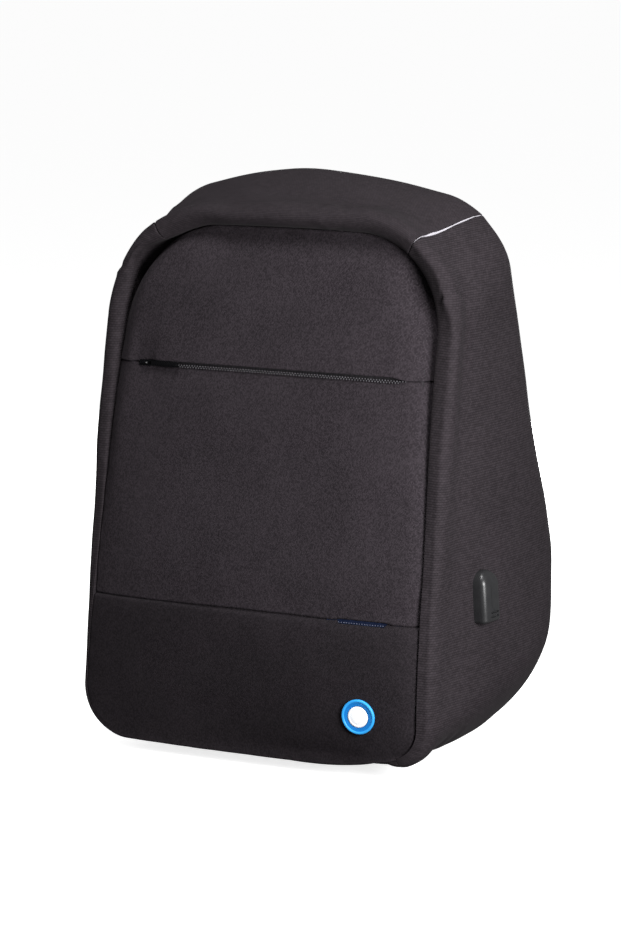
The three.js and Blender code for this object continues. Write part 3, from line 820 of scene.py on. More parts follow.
def weave_group() -> NodeTree:
    """The shared weave: yarns side by side that dip under at their own steps, and slow changes of shade."""
    found = bpy.data.node_groups.get("weave")
    if found:
        return found
    drift_scale, shade_scale = 170.0, 14.0
    number = "NodeSocketFloat"
    tree = group_with(
        "weave",
        {
            "Along": ("NodeSocketVector", 0.0), "Pitch": (number, 0.001), "Float": (number, 0.003),
            "Step": (number, 0.33), "Slub": (number, 0.3), "Dip": (number, 0.6),
        },
        ("Height", "Fleck", "Shade"),
    )
    board = NodeBoard(tree)
    given = board.add("NodeGroupInput").outputs
    split = board.add("ShaderNodeSeparateXYZ", {0: given["Along"]}).outputs
    noise = "ShaderNodeTexNoise"
    drift = board.add(noise, {"Vector": given["Along"], "Scale": drift_scale, "Detail": 2.0}).outputs[0]
    sway = board.maths("MULTIPLY", board.maths("SUBTRACT", drift, 0.5), given["Slub"])
    across = board.maths("ADD", board.maths("DIVIDE", split["X"], given["Pitch"]), sway)
    yarn = board.maths("FLOOR", across)
    shifted = board.maths("MULTIPLY_ADD", yarn, given["Step"], sway)
    along = board.maths("ADD", board.maths("DIVIDE", split["Y"], given["Float"]), shifted)
    cell = board.maths("FLOOR", along)
    round_over = board.maths("SINE", board.maths("MULTIPLY", board.maths("FRACT", across), math.pi))
    dip = board.maths("SINE", board.maths("MULTIPLY", board.maths("FRACT", along), math.pi))
    stay = board.maths("SUBTRACT", 1.0, given["Dip"])
    over = board.maths("MULTIPLY_ADD", board.maths("POWER", dip, 0.5), given["Dip"], stay)
    height = board.maths("MULTIPLY", round_over, over)
    which = board.add("ShaderNodeCombineXYZ", {0: yarn, 1: cell}).outputs[0]
    fleck = board.add("ShaderNodeTexWhiteNoise", {"Vector": which}, noise_dimensions="2D").outputs[0]
    shade = board.add(noise, {"Vector": given["Along"], "Scale": shade_scale, "Detail": 3.0}).outputs[0]
    board.add("NodeGroupOutput", {"Height": height, "Fleck": fleck, "Shade": shade})
    return tree


def wear_group() -> NodeTree:
    """The shared wear: fine grain and soft smudges of moulded and lacquered pieces."""
    found = bpy.data.node_groups.get("wear")
    if found:
        return found
    smudge_scale = 120.0
    tree = group_with("wear", {"Grain": ("NodeSocketFloat", 900.0)}, ("Grit", "Smudge"))
    board = NodeBoard(tree)
    given = board.add("NodeGroupInput").outputs
    place = board.add("ShaderNodeTexCoord").outputs["Object"]
    noise = "ShaderNodeTexNoise"
    grit = board.add(noise, {"Vector": place, "Scale": given["Grain"], "Detail": 2.0}).outputs[0]
    smudge = board.add(noise, {"Vector": place, "Scale": smudge_scale, "Detail": 3.0}).outputs[0]
    board.add("NodeGroupOutput", {"Grit": grit, "Smudge": smudge})
    return tree


def new_material(name: str) -> tuple[Material, NodeBoard, Node]:
    """A new node material.

    Args:
        name: its name.

    Returns:
        The material, its board and its shader.
    """
    material = bpy.data.materials.new(name)
    material.use_nodes = True
    board = NodeBoard(material.node_tree)
    return material, board, material.node_tree.nodes["Principled BSDF"]


def mixed(board: NodeBoard, share: NodeSocket, low: object, high: object) -> NodeSocket:
    """A colour between two, by a share.

    Args:
        board: where it is made.
        share: 0 for the first colour, 1 for the second one.
        low: first colour, or its socket.
        high: second colour, or its socket.

    Returns:
        The colour's socket.
    """
    low, high = (end if isinstance(end, NodeSocket) else (*end, 1) for end in (low, high))
    return board.add("ShaderNodeMix", {0: share, 6: low, 7: high}, data_type="RGBA").outputs[2]


@dataclass(frozen=True)
class Yarns:
    """How a weave's yarns run: length of a float in pitches, depth of its dip, shift from yarn to yarn."""

    length: float
    dip: float
    step: float


YARNS = {
    Weave.RIB: Yarns(1.6, 0.6, 0.618),
    Weave.TWILL: Yarns(1.25, 0.9, 1 / 3),
    Weave.PLAIN: Yarns(1.0, 0.6, 0.5),
}


@dataclass(frozen=True)
class ClothFinish:
    """A woven cloth of darker and lighter yarns."""

    name: str
    weave: Weave
    dark: Colour
    light: Colour
    pitch: float
    slub: float = 0.3
    relief: float = 0.35
    roughness: float = 0.82
    sheen: float = 0.012
    fleck: float = 0.5
    drift: float = 0.4
    uneven: float = 0.16
    fleck_rise: float = 0.3
    bump_depth: float = 0.3
    sheen_roughness: float = 0.45
    specular: float = 0.05

    def material(self) -> Material:
        """The finish as a material, made once."""
        found = bpy.data.materials.get(f"{self.name}_finish")
        if found:
            return found
        material, board, shader = new_material(f"{self.name}_finish")
        place = board.add("ShaderNodeUVMap", uv_map="cloth").outputs[0]
        yarns = YARNS[self.weave]
        weave = board.add("ShaderNodeGroup", node_tree=weave_group())
        values = {
            "Pitch": self.pitch * MM,
            "Float": yarns.length * self.pitch * MM,
            "Step": yarns.step,
            "Slub": self.slub,
            "Dip": yarns.dip,
        }
        for label, value in values.items():
            weave.inputs[label].default_value = value
        board.tree.links.new(place, weave.inputs["Along"])
        height, fleck, shade = weave.outputs
        flecked = board.maths("MULTIPLY", fleck, self.fleck)
        yarn = board.maths("MULTIPLY_ADD", height, 1 - self.fleck, flecked)
        slow = board.maths("MULTIPLY_ADD", shade, self.drift, -self.drift / 2)
        share = board.maths("ADD", yarn, slow)
        share.node.use_clamp = True
        board.tree.links.new(mixed(board, share, self.dark, self.light), shader.inputs["Base Color"])
        rough = board.maths("MULTIPLY_ADD", fleck, self.uneven, self.roughness - self.uneven / 2)
        board.tree.links.new(rough, shader.inputs["Roughness"])
        bumped = board.maths("MULTIPLY_ADD", fleck, self.fleck_rise, height)
        depth = self.bump_depth * MM
        bump = board.add("ShaderNodeBump", {"Strength": self.relief, "Distance": depth, "Height": bumped})
        board.tree.links.new(bump.outputs[0], shader.inputs["Normal"])
        shader.inputs["Sheen Weight"].default_value = self.sheen
        shader.inputs["Sheen Roughness"].default_value = self.sheen_roughness
        shader.inputs["Specular IOR Level"].default_value = self.specular
        return material


@dataclass(frozen=True)
class HardFinish:
    """A moulded, lacquered or coated finish with fine grain and smudges."""

    name: str
    base: Colour
    light: Colour
    roughness: float
    grain: float = 900.0
    relief: float = 0.12
    specular: float = 0.5
    uneven: float = 0.16
    bump_depth: float = 0.1

    def material(self) -> Material:
        """The finish as a material, made once."""
        found = bpy.data.materials.get(f"{self.name}_finish")
        if found:
            return found
        material, board, shader = new_material(f"{self.name}_finish")
        wear = board.add("ShaderNodeGroup", node_tree=wear_group())
        wear.inputs["Grain"].default_value = self.grain
        grit, smudge = wear.outputs
        self.colour(board, shader, smudge)
        rough = board.maths("MULTIPLY_ADD", smudge, self.uneven, self.roughness - self.uneven / 2)
        board.tree.links.new(rough, shader.inputs["Roughness"])
        depth = self.bump_depth * MM
        bump = board.add("ShaderNodeBump", {"Strength": self.relief, "Distance": depth, "Height": grit})
        board.tree.links.new(bump.outputs[0], shader.inputs["Normal"])
        shader.inputs["Specular IOR Level"].default_value = self.specular
        return material

    def colour(self, board: NodeBoard, shader: Node, smudge: NodeSocket) -> None:
        """Gives the shader its colour."""
        board.tree.links.new(mixed(board, smudge, self.base, self.light), shader.inputs["Base Color"])


@dataclass(frozen=True)
class RingedFinish(HardFinish):
    """A soft moulding whose rim is lighter than the ring inside it."""

    ring: Colour = (0.0, 0.0, 0.0)
    rim_from: float = 10.4
    rim_to: float = 10.9

    def colour(self, board: NodeBoard, shader: Node, smudge: NodeSocket) -> None:
        """Gives the shader its colour by the distance from the middle.

        Args:
            board: the material's board.
            shader: the shader.
            smudge: slow change from the darker to the lighter colour.
        """
        place = board.add("ShaderNodeUVMap", uv_map="cloth").outputs[0]
        radius = board.add("ShaderNodeSeparateXYZ", {0: place}).outputs["X"]
        span = {"Value": radius, "From Min": self.rim_from * MM, "From Max": self.rim_to * MM}
        rim = board.add("ShaderNodeMapRange", span).outputs[0]
        body = mixed(board, smudge, self.base, self.light)
        board.tree.links.new(mixed(board, rim, self.ring, body), shader.inputs["Base Color"])


PANEL_CLOTH = ClothFinish(
    "panel_cloth", Weave.TWILL, (0.0033, 0.0026, 0.0032), (0.0424, 0.0350, 0.0410), 0.75, fleck=0.43
)
# The lower panel's cloth: the panels' one cloth, painted darker as painted shade, for the lower panel that
# lies in less light.
LOW_CLOTH_PAINTED_SHADE = ClothFinish(
    "low_cloth_painted_shade", Weave.TWILL, (0.0025, 0.0020, 0.0024), (0.0258, 0.0214, 0.0249), 0.75, fleck=0.40
)
BAND_CLOTH = ClothFinish(
    "band_cloth", Weave.RIB, (0.0106, 0.0087, 0.0100), (0.0320, 0.0266, 0.0304), 1.75,
    relief=0.22, fleck=0.36,
)
TOP_CLOTH = ClothFinish(
    "top_cloth", Weave.RIB, (0.0122, 0.0100, 0.0115), (0.0302, 0.0251, 0.0287), 1.3,
    relief=0.15, fleck=0.36,
)
BACK_CLOTH = ClothFinish(
    "back_cloth", Weave.PLAIN, (0.012, 0.011, 0.012), (0.055, 0.051, 0.055), 2.4, relief=0.8
)
STRAP_CLOTH = ClothFinish("strap_cloth", Weave.PLAIN, (0.018, 0.016, 0.018), (0.060, 0.054, 0.060), 1.3)
WEBBING = ClothFinish("webbing", Weave.RIB, (0.012, 0.011, 0.012), (0.042, 0.040, 0.044), 1.6, relief=0.7)
ZIP_TAPE = ClothFinish("zip_tape", Weave.PLAIN, (0.012, 0.011, 0.012), (0.030, 0.028, 0.031), 0.8)
LINING = ClothFinish("lining", Weave.PLAIN, (0.003, 0.005, 0.014), (0.010, 0.016, 0.042), 0.7)
REFLECTIVE = ClothFinish(
    "reflective", Weave.PLAIN, (0.30, 0.285, 0.31), (0.52, 0.50, 0.54), 0.5, relief=0.2, roughness=0.4
)
ZIP_COIL = HardFinish("zip_coil", (0.054, 0.050, 0.056), (0.092, 0.087, 0.096), 0.5)
BLACK_METAL = HardFinish("black_metal", (0.0015, 0.0015, 0.0018), (0.003, 0.003, 0.0036), 0.3, specular=0.1)
HOUSING_PLASTIC = HardFinish(
    "housing_plastic", (0.011, 0.011, 0.012), (0.019, 0.019, 0.020), 0.34, grain=2200.0, relief=0.08
)
BADGE_BLUE = RingedFinish(
    "badge_blue", (0.022, 0.30, 0.72), (0.030, 0.34, 0.78), 0.42, relief=0.05, ring=(0.004, 0.165, 0.51)
)
BADGE_WHITE = HardFinish("badge_white", (0.80, 0.82, 0.86), (0.86, 0.88, 0.91), 0.45, relief=0.05)
THREAD = HardFinish("thread", (0.020, 0.018, 0.021), (0.05, 0.046, 0.052), 0.7)
PALE_THREAD = HardFinish("pale_thread", (0.06, 0.07, 0.11), (0.13, 0.14, 0.19), 0.7)


def settle(obj: Object, finish: ClothFinish | HardFinish, slot: str, *nodes: str, body: str = BAG) -> Object:
    """Dresses a finished piece and ties it to the frame.

    Args:
        obj: the piece, in place.
        finish: what it is made of.
        slot: not used.
        nodes: the solids that it stands for.
        body: the body that it moves with.

    Returns:
        The piece.
    """
    obj.data.materials.clear()
    obj.data.materials.append(finish.material())
    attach(obj, body)
    if nodes:
        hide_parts(*nodes)
    LOG.info("%s: %d faces", obj.name, len(obj.data.polygons))
    return obj


@dataclass(frozen=True)
class RepeatTree:
    """Geometry Nodes tree that sets one small rounded shape again and again along a path."""

    name: str = "repeat_along_path"
    segments: int = 8
    rings: int = 5
    jitter: float = 0.08
    seed: int = 3

    def tree(self) -> GeometryNodeTree:
        """The tree, made once."""
        found = bpy.data.node_groups.get(self.name)
        if found:
            return found
        tree = bpy.data.node_groups.new(self.name, "GeometryNodeTree")
        for label, kind, way in (
            ("Path", "Geometry", "INPUT"), ("Pitch", "Float", "INPUT"), ("Size", "Vector", "INPUT"),
            ("Jitter", "Float", "INPUT"), ("Seed", "Int", "INPUT"), ("Finish", "Material", "INPUT"),
            ("Shapes", "Geometry", "OUTPUT"),
        ):
            tree.interface.new_socket(label, in_out=way, socket_type="NodeSocket" + kind)
        board = NodeBoard(tree)
        given = board.add("NodeGroupInput").outputs
        curve = board.add("GeometryNodeMeshToCurve", {"Mesh": given["Path"]}).outputs[0]
        lengths = {"Curve": curve, "Length": given["Pitch"]}
        spaced = board.add("GeometryNodeResampleCurve", lengths, mode="LENGTH")
        along = board.add("GeometryNodeInputTangent").outputs[0]
        attribute = "GeometryNodeInputNamedAttribute"
        out = board.add(attribute, {"Name": "out"}, data_type="FLOAT_VECTOR").outputs[0]
        align = "FunctionNodeAlignRotationToVector"
        headed = board.add(align, {"Vector": along}, axis="X").outputs[0]
        turned = board.add(align, {"Rotation": headed, "Vector": out}, axis="Z", pivot_axis="X").outputs[0]
        low = board.maths("SUBTRACT", 1.0, given["Jitter"])
        high = board.maths("ADD", 1.0, given["Jitter"])
        limits = {2: low, 3: high, "Seed": given["Seed"]}
        chance = board.add("FunctionNodeRandomValue", limits, data_type="FLOAT")
        size = board.add(
            "ShaderNodeVectorMath", {0: given["Size"], "Scale": chance.outputs[1]}, operation="SCALE"
        ).outputs[0]
        round_shape = {"Segments": self.segments, "Rings": self.rings, "Radius": 0.5}
        bead = board.add("GeometryNodeMeshUVSphere", round_shape).outputs[0]
        placed = board.add(
            "GeometryNodeInstanceOnPoints",
            {"Points": spaced.outputs[0], "Instance": bead, "Rotation": turned, "Scale": size},
        ).outputs[0]
        real = board.add("GeometryNodeRealizeInstances", {0: placed}).outputs[0]
        dressed = board.add("GeometryNodeSetMaterial", {"Geometry": real, "Material": given["Finish"]})
        board.add("NodeGroupOutput", {"Shapes": dressed.outputs[0]})
        return tree

    def lay(
        self, name: str, paths: list[Array], out: Triple, pitch: float, size: Triple, finish: HardFinish
    ) -> Object:
        """Sets the shapes along paths and returns them as a plain mesh.

        Args:
            name: the piece's name.
            paths: points of each path, in design millimetres.
            out: outward direction of the shapes.
            pitch: distance from shape to shape in millimetres.
            size: length along, width across and height of a shape.
            finish: what the shapes are made of.

        Returns:
            The object.
        """
        starts = np.cumsum([0] + [len(path) for path in paths])
        edges = [
            (start + step, start + step + 1)
            for start, path in zip(starts, paths)
            for step in range(len(path) - 1)
        ]
        mesh = bpy.data.meshes.new(name)
        points = packed(np.concatenate(paths))
        mesh.from_pydata(points.tolist(), edges, [])
        kept = mesh.attributes.new("out", "FLOAT_VECTOR", "POINT")
        kept.data.foreach_set("vector", np.tile(out, (len(points), 1)).astype(np.float32).ravel())
        obj = bpy.data.objects.new(name, mesh)
        bpy.context.scene.collection.objects.link(obj)
        tree = self.tree()
        modifier = obj.modifiers.new("repeat", "NODES")
        modifier.node_group = tree
        known = {item.name: item.identifier for item in tree.interface.items_tree if item.in_out == "INPUT"}
        modifier[known["Pitch"]] = pitch * MM
        modifier[known["Size"]] = [part * MM for part in size]
        modifier[known["Jitter"]] = self.jitter
        modifier[known["Seed"]] = self.seed
        modifier[known["Finish"]] = finish.material()
        flattened(obj)
        return obj


REPEAT = RepeatTree()


@dataclass(frozen=True)
class Cut:
    """Flat size of a cloth piece as cut, in metres, with its area where it isn't a rectangle."""

    width: float
    length: float
    area: float | None = None

    def declare(self, obj: Object, rests_on: list[str]) -> None:
        """Takes a piece and what it rests on, and does nothing with them."""


@dataclass
class SeamStrip:
    """A grey strip that lies in the slot of an upper seam."""

    name: str
    node: str
    way: float
    first_row: float
    broken_row: float
    seed: int
    last_row: float = 11.2
    steps: int = 120
    ways: int = 9
    overlap: float = 0.0004
    even: float = 0.72
    uneven: float = 0.28
    uneven_size: float = 22
    narrowest: float = 0.25
    widest: float = 1.1
    tip: float = 0.06
    tip_rows: float = 1.8
    thinner: float = 0.4
    thin_row: float = 7
    thin_rows: float = 3
    pinch: float = 0.85
    pinch_rows: float = 0.16
    dome: float = 0.5
    sunk: float = 0.55
    wall: float = 1.2

    def build(self, slot: float) -> Object:
        """Builds the strip.

        Args:
            slot: half the way round the bag that its seam leaves free.

        Returns:
            The object.
        """
        row = np.linspace(self.first_row, self.last_row, self.steps)
        share = np.linspace(-1, 1, self.ways)
        half = slot * SHELL.section.read("slot", row) + self.overlap
        middle = SHELL.band(self.way, row)
        width = self.even + Wave(self.uneven, self.uneven_size, self.seed).read(middle)
        taper = np.clip((row - self.first_row) / self.tip_rows, self.tip, 1)
        taper = taper * (1 - self.thinner * np.clip((row - self.thin_row) / self.thin_rows, 0, 1))
        broken = np.exp(-(((row - self.broken_row) / self.pinch_rows) ** 2))
        half = half * taper * np.clip(width, self.narrowest, self.widest) * (1 - self.pinch * broken)
        places = self.way + half[:, None] * share[None, :]
        points = SHELL.band(places, np.broadcast_to(row[:, None], places.shape))
        normals = -grid_normals(points)
        dome = self.dome * np.sqrt(np.maximum(1 - share**2, 0)) - self.sunk
        outer = points + normals * dome[None, :, None]
        inner = outer - normals * self.wall
        along = cloth_lengths(outer, 1)
        obj = wall_object(self.name, outer[:, ::-1], inner[:, ::-1], along[:, ::-1])
        return settle(obj, REFLECTIVE, "reflective", self.node)


@dataclass
class Band:
    """The gusset round the bag: both sides, top and base, with the strips in its upper seams."""

    wall: float = 2.4
    step: float = 2.6
    fine: tuple[float, ...] = (0.0, 0.2, 0.5, 0.9, 1.5, 2.4)
    row_steps: tuple[tuple[float, float, int], ...] = ((0, 6, 46), (6, 10, 50), (10, 12, 20))
    samples: int = 900
    middle_row: float = 7.0
    spread: int = 5
    top_seam: float = 3.6
    base_seam: float = 1.2
    seam_gap: float = 0.0005
    seam_calm: float = 6.0
    strip_slot: float = 0.0070
    slot_above: float = 2
    edge_roll: float = 1.0
    floor_clear: float = 0.5
    tucks: tuple[float, ...] = (21.0, 17.0, 13.0, 9.0, 4.5, 1.5)
    level_gain: float = 1.3
    waves: tuple[Wave, ...] = (Wave(0.5, 95, 11), Wave(0.22, 34, 12))
    pucker: Wave = Wave(0.45, 16, 13)
    pucker_reach: float = 9
    folds: tuple[Fold, ...] = (
        Fold(1, 3.25, 2.5, 8, 2.2, 50, 1.8, 0.8),
        Fold(-1, 3.3, 0.6, 5, 1.8, -40, 1.6, 0.4),
        Fold(1, 4.5, 0.7, 6, 3.0, 35, 0.9),
        Fold(1, 4.25, 0.7, 7, 3.2, -30, 1.0),
        Fold(1, 1.5, 4.2, 12, 2.4, 10, 0.9),
        Fold(1, 1.45, 5.3, 13, 2.6, -8, 0.9),
        Fold(1, 1.5, 6.0, 15, 3.0, 6, 1.0),
        Fold(1, 1.55, 6.5, 14, 3.0, 0, 0.8),
    )
    fold_way: float = 0.02
    fold_row: float = 0.2
    ridge_set: float = 1.7

    def rows(self) -> Array:
        """Places of the mesh's rows from the front seam to the back seam."""
        parts = [np.linspace(a, b, n, endpoint=False) for a, b, n in self.row_steps]
        return np.concatenate([*parts, [self.row_steps[-1][1]]])

    def gap(self, way: float, row: Array) -> Array:
        """Half the opening of a seam, row by row.

        Args:
            way: where the seam is round the bag.
            row: places from the front seam to the back seam.

        Returns:
            Parts of a station.
        """
        station = LAP - way if way > TOP_MIDDLE else abs(way)
        slot = self.strip_slot * SHELL.section.read("slot", row) if station > self.slot_above else 0
        return self.seam_gap + slot

    def tucked(self, points: Array, seam: Array) -> Array:
        """Adds the cloth that turns in behind the front seam and closes the open corner there.

        Args:
            points: outside of the piece.
            seam: places round the bag along its front seam.

        Returns:
            The points with the turned-in rows before them.
        """
        shut = replace(SHELL, groove_open=0).band(seam, 0.0) - SHELL.band(seam, 0.0)
        rows = [points[:, :1] + shut * (depth / self.tucks[0]) ** 3 + (0, depth, 0) for depth in self.tucks]
        return np.concatenate([*rows, points], axis=1)

    def surface(self, start: float, end: float, steep: bool) -> tuple[Array, Array]:
        """Outside of one sewn piece.

        Args:
            start: where it starts round the bag.
            end: where it ends.
            steep: whether it stands upright, with its yarns level.

        Returns:
            Points in design millimetres, and metres along the cloth.
        """
        row = self.rows()
        dense = np.linspace(start, end, self.samples)
        run = run_length(SHELL.band(dense, self.middle_row)[:, None], 0)[:, 0] / MM
        places = edge_steps(run[-1], self.step, self.fine)
        middle = np.interp(places, run, dense)
        share = (middle - start) / (end - start)
        first = start + self.gap(start, row)
        last = end - self.gap(end, row)
        way = first + (last - first) * share[:, None]
        points = SHELL.band(way, row[None, :])
        normals = grid_normals(points, self.spread)
        edge = np.minimum(places, run[-1] - places)[:, None]
        calm = np.clip(run_length(points, 1) / MM / self.seam_calm, 0, 1)
        lift = -roll(edge, self.edge_roll) + self.relief(points, edge) * calm
        lift = np.where(points[..., 2] > self.floor_clear, lift, np.minimum(lift, 0))
        points = points + normals * lift[..., None]
        points[..., 2] = np.maximum(points[..., 2], 0)
        points = self.tucked(points, way[:, :1])
        height = SHELL.band(middle, self.middle_row)[:, 2]
        slope = np.gradient(height, places)
        climb = np.clip(self.level_gain * np.abs(slope), 0, 1) * np.sign(slope)
        level = (points[..., 2] - height[:, None]) * climb[:, None] if steep else 0
        along = np.broadcast_to(places[:, None] + level, points.shape[:2]) * MM
        yarns = [along, run_length(points, 1)]
        return points, np.stack(yarns if steep else yarns[::-1], -1)

    def relief(self, points: Array, edge: Array) -> Array:
        """How far the cloth stands off its plain form.

        Args:
            points: the plain form.
            edge: distance from the nearer seam across the band.

        Returns:
            Millimetres outwards.
        """
        lift = sum(wave.read(points) for wave in self.waves)
        lift += self.pucker.read(points, np.exp(-edge / self.pucker_reach))
        for fold in self.folds:
            way = fold.station if fold.side > 0 else LAP - fold.station
            row, near, beside = fold.row, self.fold_way, self.fold_row
            centre = SHELL.band(way, row)
            onwards = SHELL.band(way + near, row) - SHELL.band(way - near, row)
            rearwards = SHELL.band(way, row + beside) - SHELL.band(way, row - beside)
            onwards /= np.linalg.norm(onwards)
            rearwards /= np.linalg.norm(rearwards)
            angle = math.radians(fold.turn)
            run = math.cos(angle) * onwards + math.sin(angle) * rearwards
            across = math.cos(angle) * rearwards - math.sin(angle) * onwards
            a = (points - centre) @ run / fold.length
            b = (points - centre) @ across / fold.width
            crease = np.exp(-(b**2)) - fold.ridge * np.exp(-((b - self.ridge_set) ** 2))
            lift -= fold.depth * np.exp(-(a**2)) * crease
        return lift

    def piece(self, name: str, node: str, start: float, end: float, cut: Cut) -> Object:
        """One sewn piece of the band, walled inwards.

        Args:
            name: the piece's name.
            node: the solid that it stands for.
            start: where it starts round the bag.
            end: where it ends.
            cut: its flat size.

        Returns:
            The object.
        """
        outer, along = self.surface(start, end, steep=node in ("gusset_right", "gusset_left"))
        row = np.concatenate([np.zeros(len(self.tucks)), self.rows()])
        wall = self.wall * SHELL.section.read("wall", row)
        inner = outer - grid_normals(outer, self.spread) * wall[None, :, None]
        obj = wall_object(name, outer, inner, along)
        settle(obj, TOP_CLOTH if node == "gusset_top" else BAND_CLOTH, "band_cloth", node)
        cut.declare(obj, ["back_panel"])
        return obj

    def build(self) -> Object:
        """Builds the band and returns its right side, which carries the port housing."""
        high, low = self.top_seam, self.base_seam
        side_cut = Cut(0.215, 0.385, 0.068)
        right = self.piece("side_right", "gusset_right", low, high, side_cut)
        self.piece("side_left", "gusset_left", LAP - high, LAP - low, side_cut)
        self.piece("top_band", "gusset_top", high, LAP - high, Cut(0.1, 0.26, 0.0245))
        self.piece("base_band", "gusset_base", -low, low, Cut(0.2, 0.26, 0.043))
        unbroken = 20.0
        strips = (
            SeamStrip("strip_right", "reflective_strip_right", high, 3.0, 9.2, 21),
            SeamStrip("strip_left", "reflective_strip_left", LAP - high, 4.4, unbroken, 22),
        )
        for strip in strips:
            strip.build(self.strip_slot)
        return right


@dataclass(frozen=True)
class Bump:
    """A flat-topped bump along a line: its middle, its half width and its height."""

    middle: float = 0.0
    half_width: float = 1.0
    height: float = 0.0

    def read(self, x: Array) -> Array:
        """Its height at places along the line."""
        return self.height * np.exp(-(((x - self.middle) / self.half_width) ** 4))


@dataclass(frozen=True)
class Slot:
    """An opening between two panels that closes to a seam at both ends."""

    middle: float
    half_length: float
    closing: float
    half_gap: float
    seam_gap: float
    seam_roll: float = 1.0
    gape: Bump = Bump()
    clear: Bump = Bump()

    def half(self, x: Array) -> Array:
        """Half the opening.

        Args:
            x: places across the panel.

        Returns:
            Millimetres.
        """
        past = np.clip((np.abs(x - self.middle) - self.half_length) / self.closing, 0, 1)
        shut = past**2 * (3 - 2 * past)
        opened = self.half_gap + (self.seam_gap - self.half_gap) * shut + self.gape.read(x)
        return np.minimum(opened, self.half_gap)

    def part(self, x: Array) -> Array:
        """Share of a hem's roll and lift at a place across the panel, less where it is sewn shut."""
        opened = (self.half(x) - self.seam_gap) / (self.half_gap - self.seam_gap)
        return self.seam_roll + (1 - self.seam_roll) * opened

    def stand(self, x: Array) -> Array:
        """Share of the upper hem's lift, taken away where a slider needs room."""
        return self.part(x) - self.clear.read(x)


ZIP_SLOT = Slot(-1, 97, 13, 2.1, 0.25, seam_roll=0.3, clear=Bump(-104, 10, 1.3))
POCKET_SLOT = Slot(86, 17, 6, 1.5, 0.35, gape=Bump(-2, 52, 0.55))


@dataclass(frozen=True)
class Patch:
    """One panel's plan: heights of its edges, the openings beside it and how its hems lie.

    An edge without a height follows the front's own outline. The lower hem lifts off; the upper hem
    sinks in and bends back.
    """

    name: str
    node: str
    low: float | None
    high: float | None
    lower: Slot | None
    upper: Slot | None
    finish: ClothFinish
    cut: Cut
    lift: float = 0.0
    sink: float = 0.0
    bend: float = 0.0


@dataclass(frozen=True)
class Spread:
    """A panel's mesh seen from the front: each point's place, share of the way up, distance from the lower
    and the upper edge, and how far the openings move it up and down."""

    x: Array
    z: Array
    climb: Array
    below: Array
    above: Array
    raised: Array
    lowered: Array


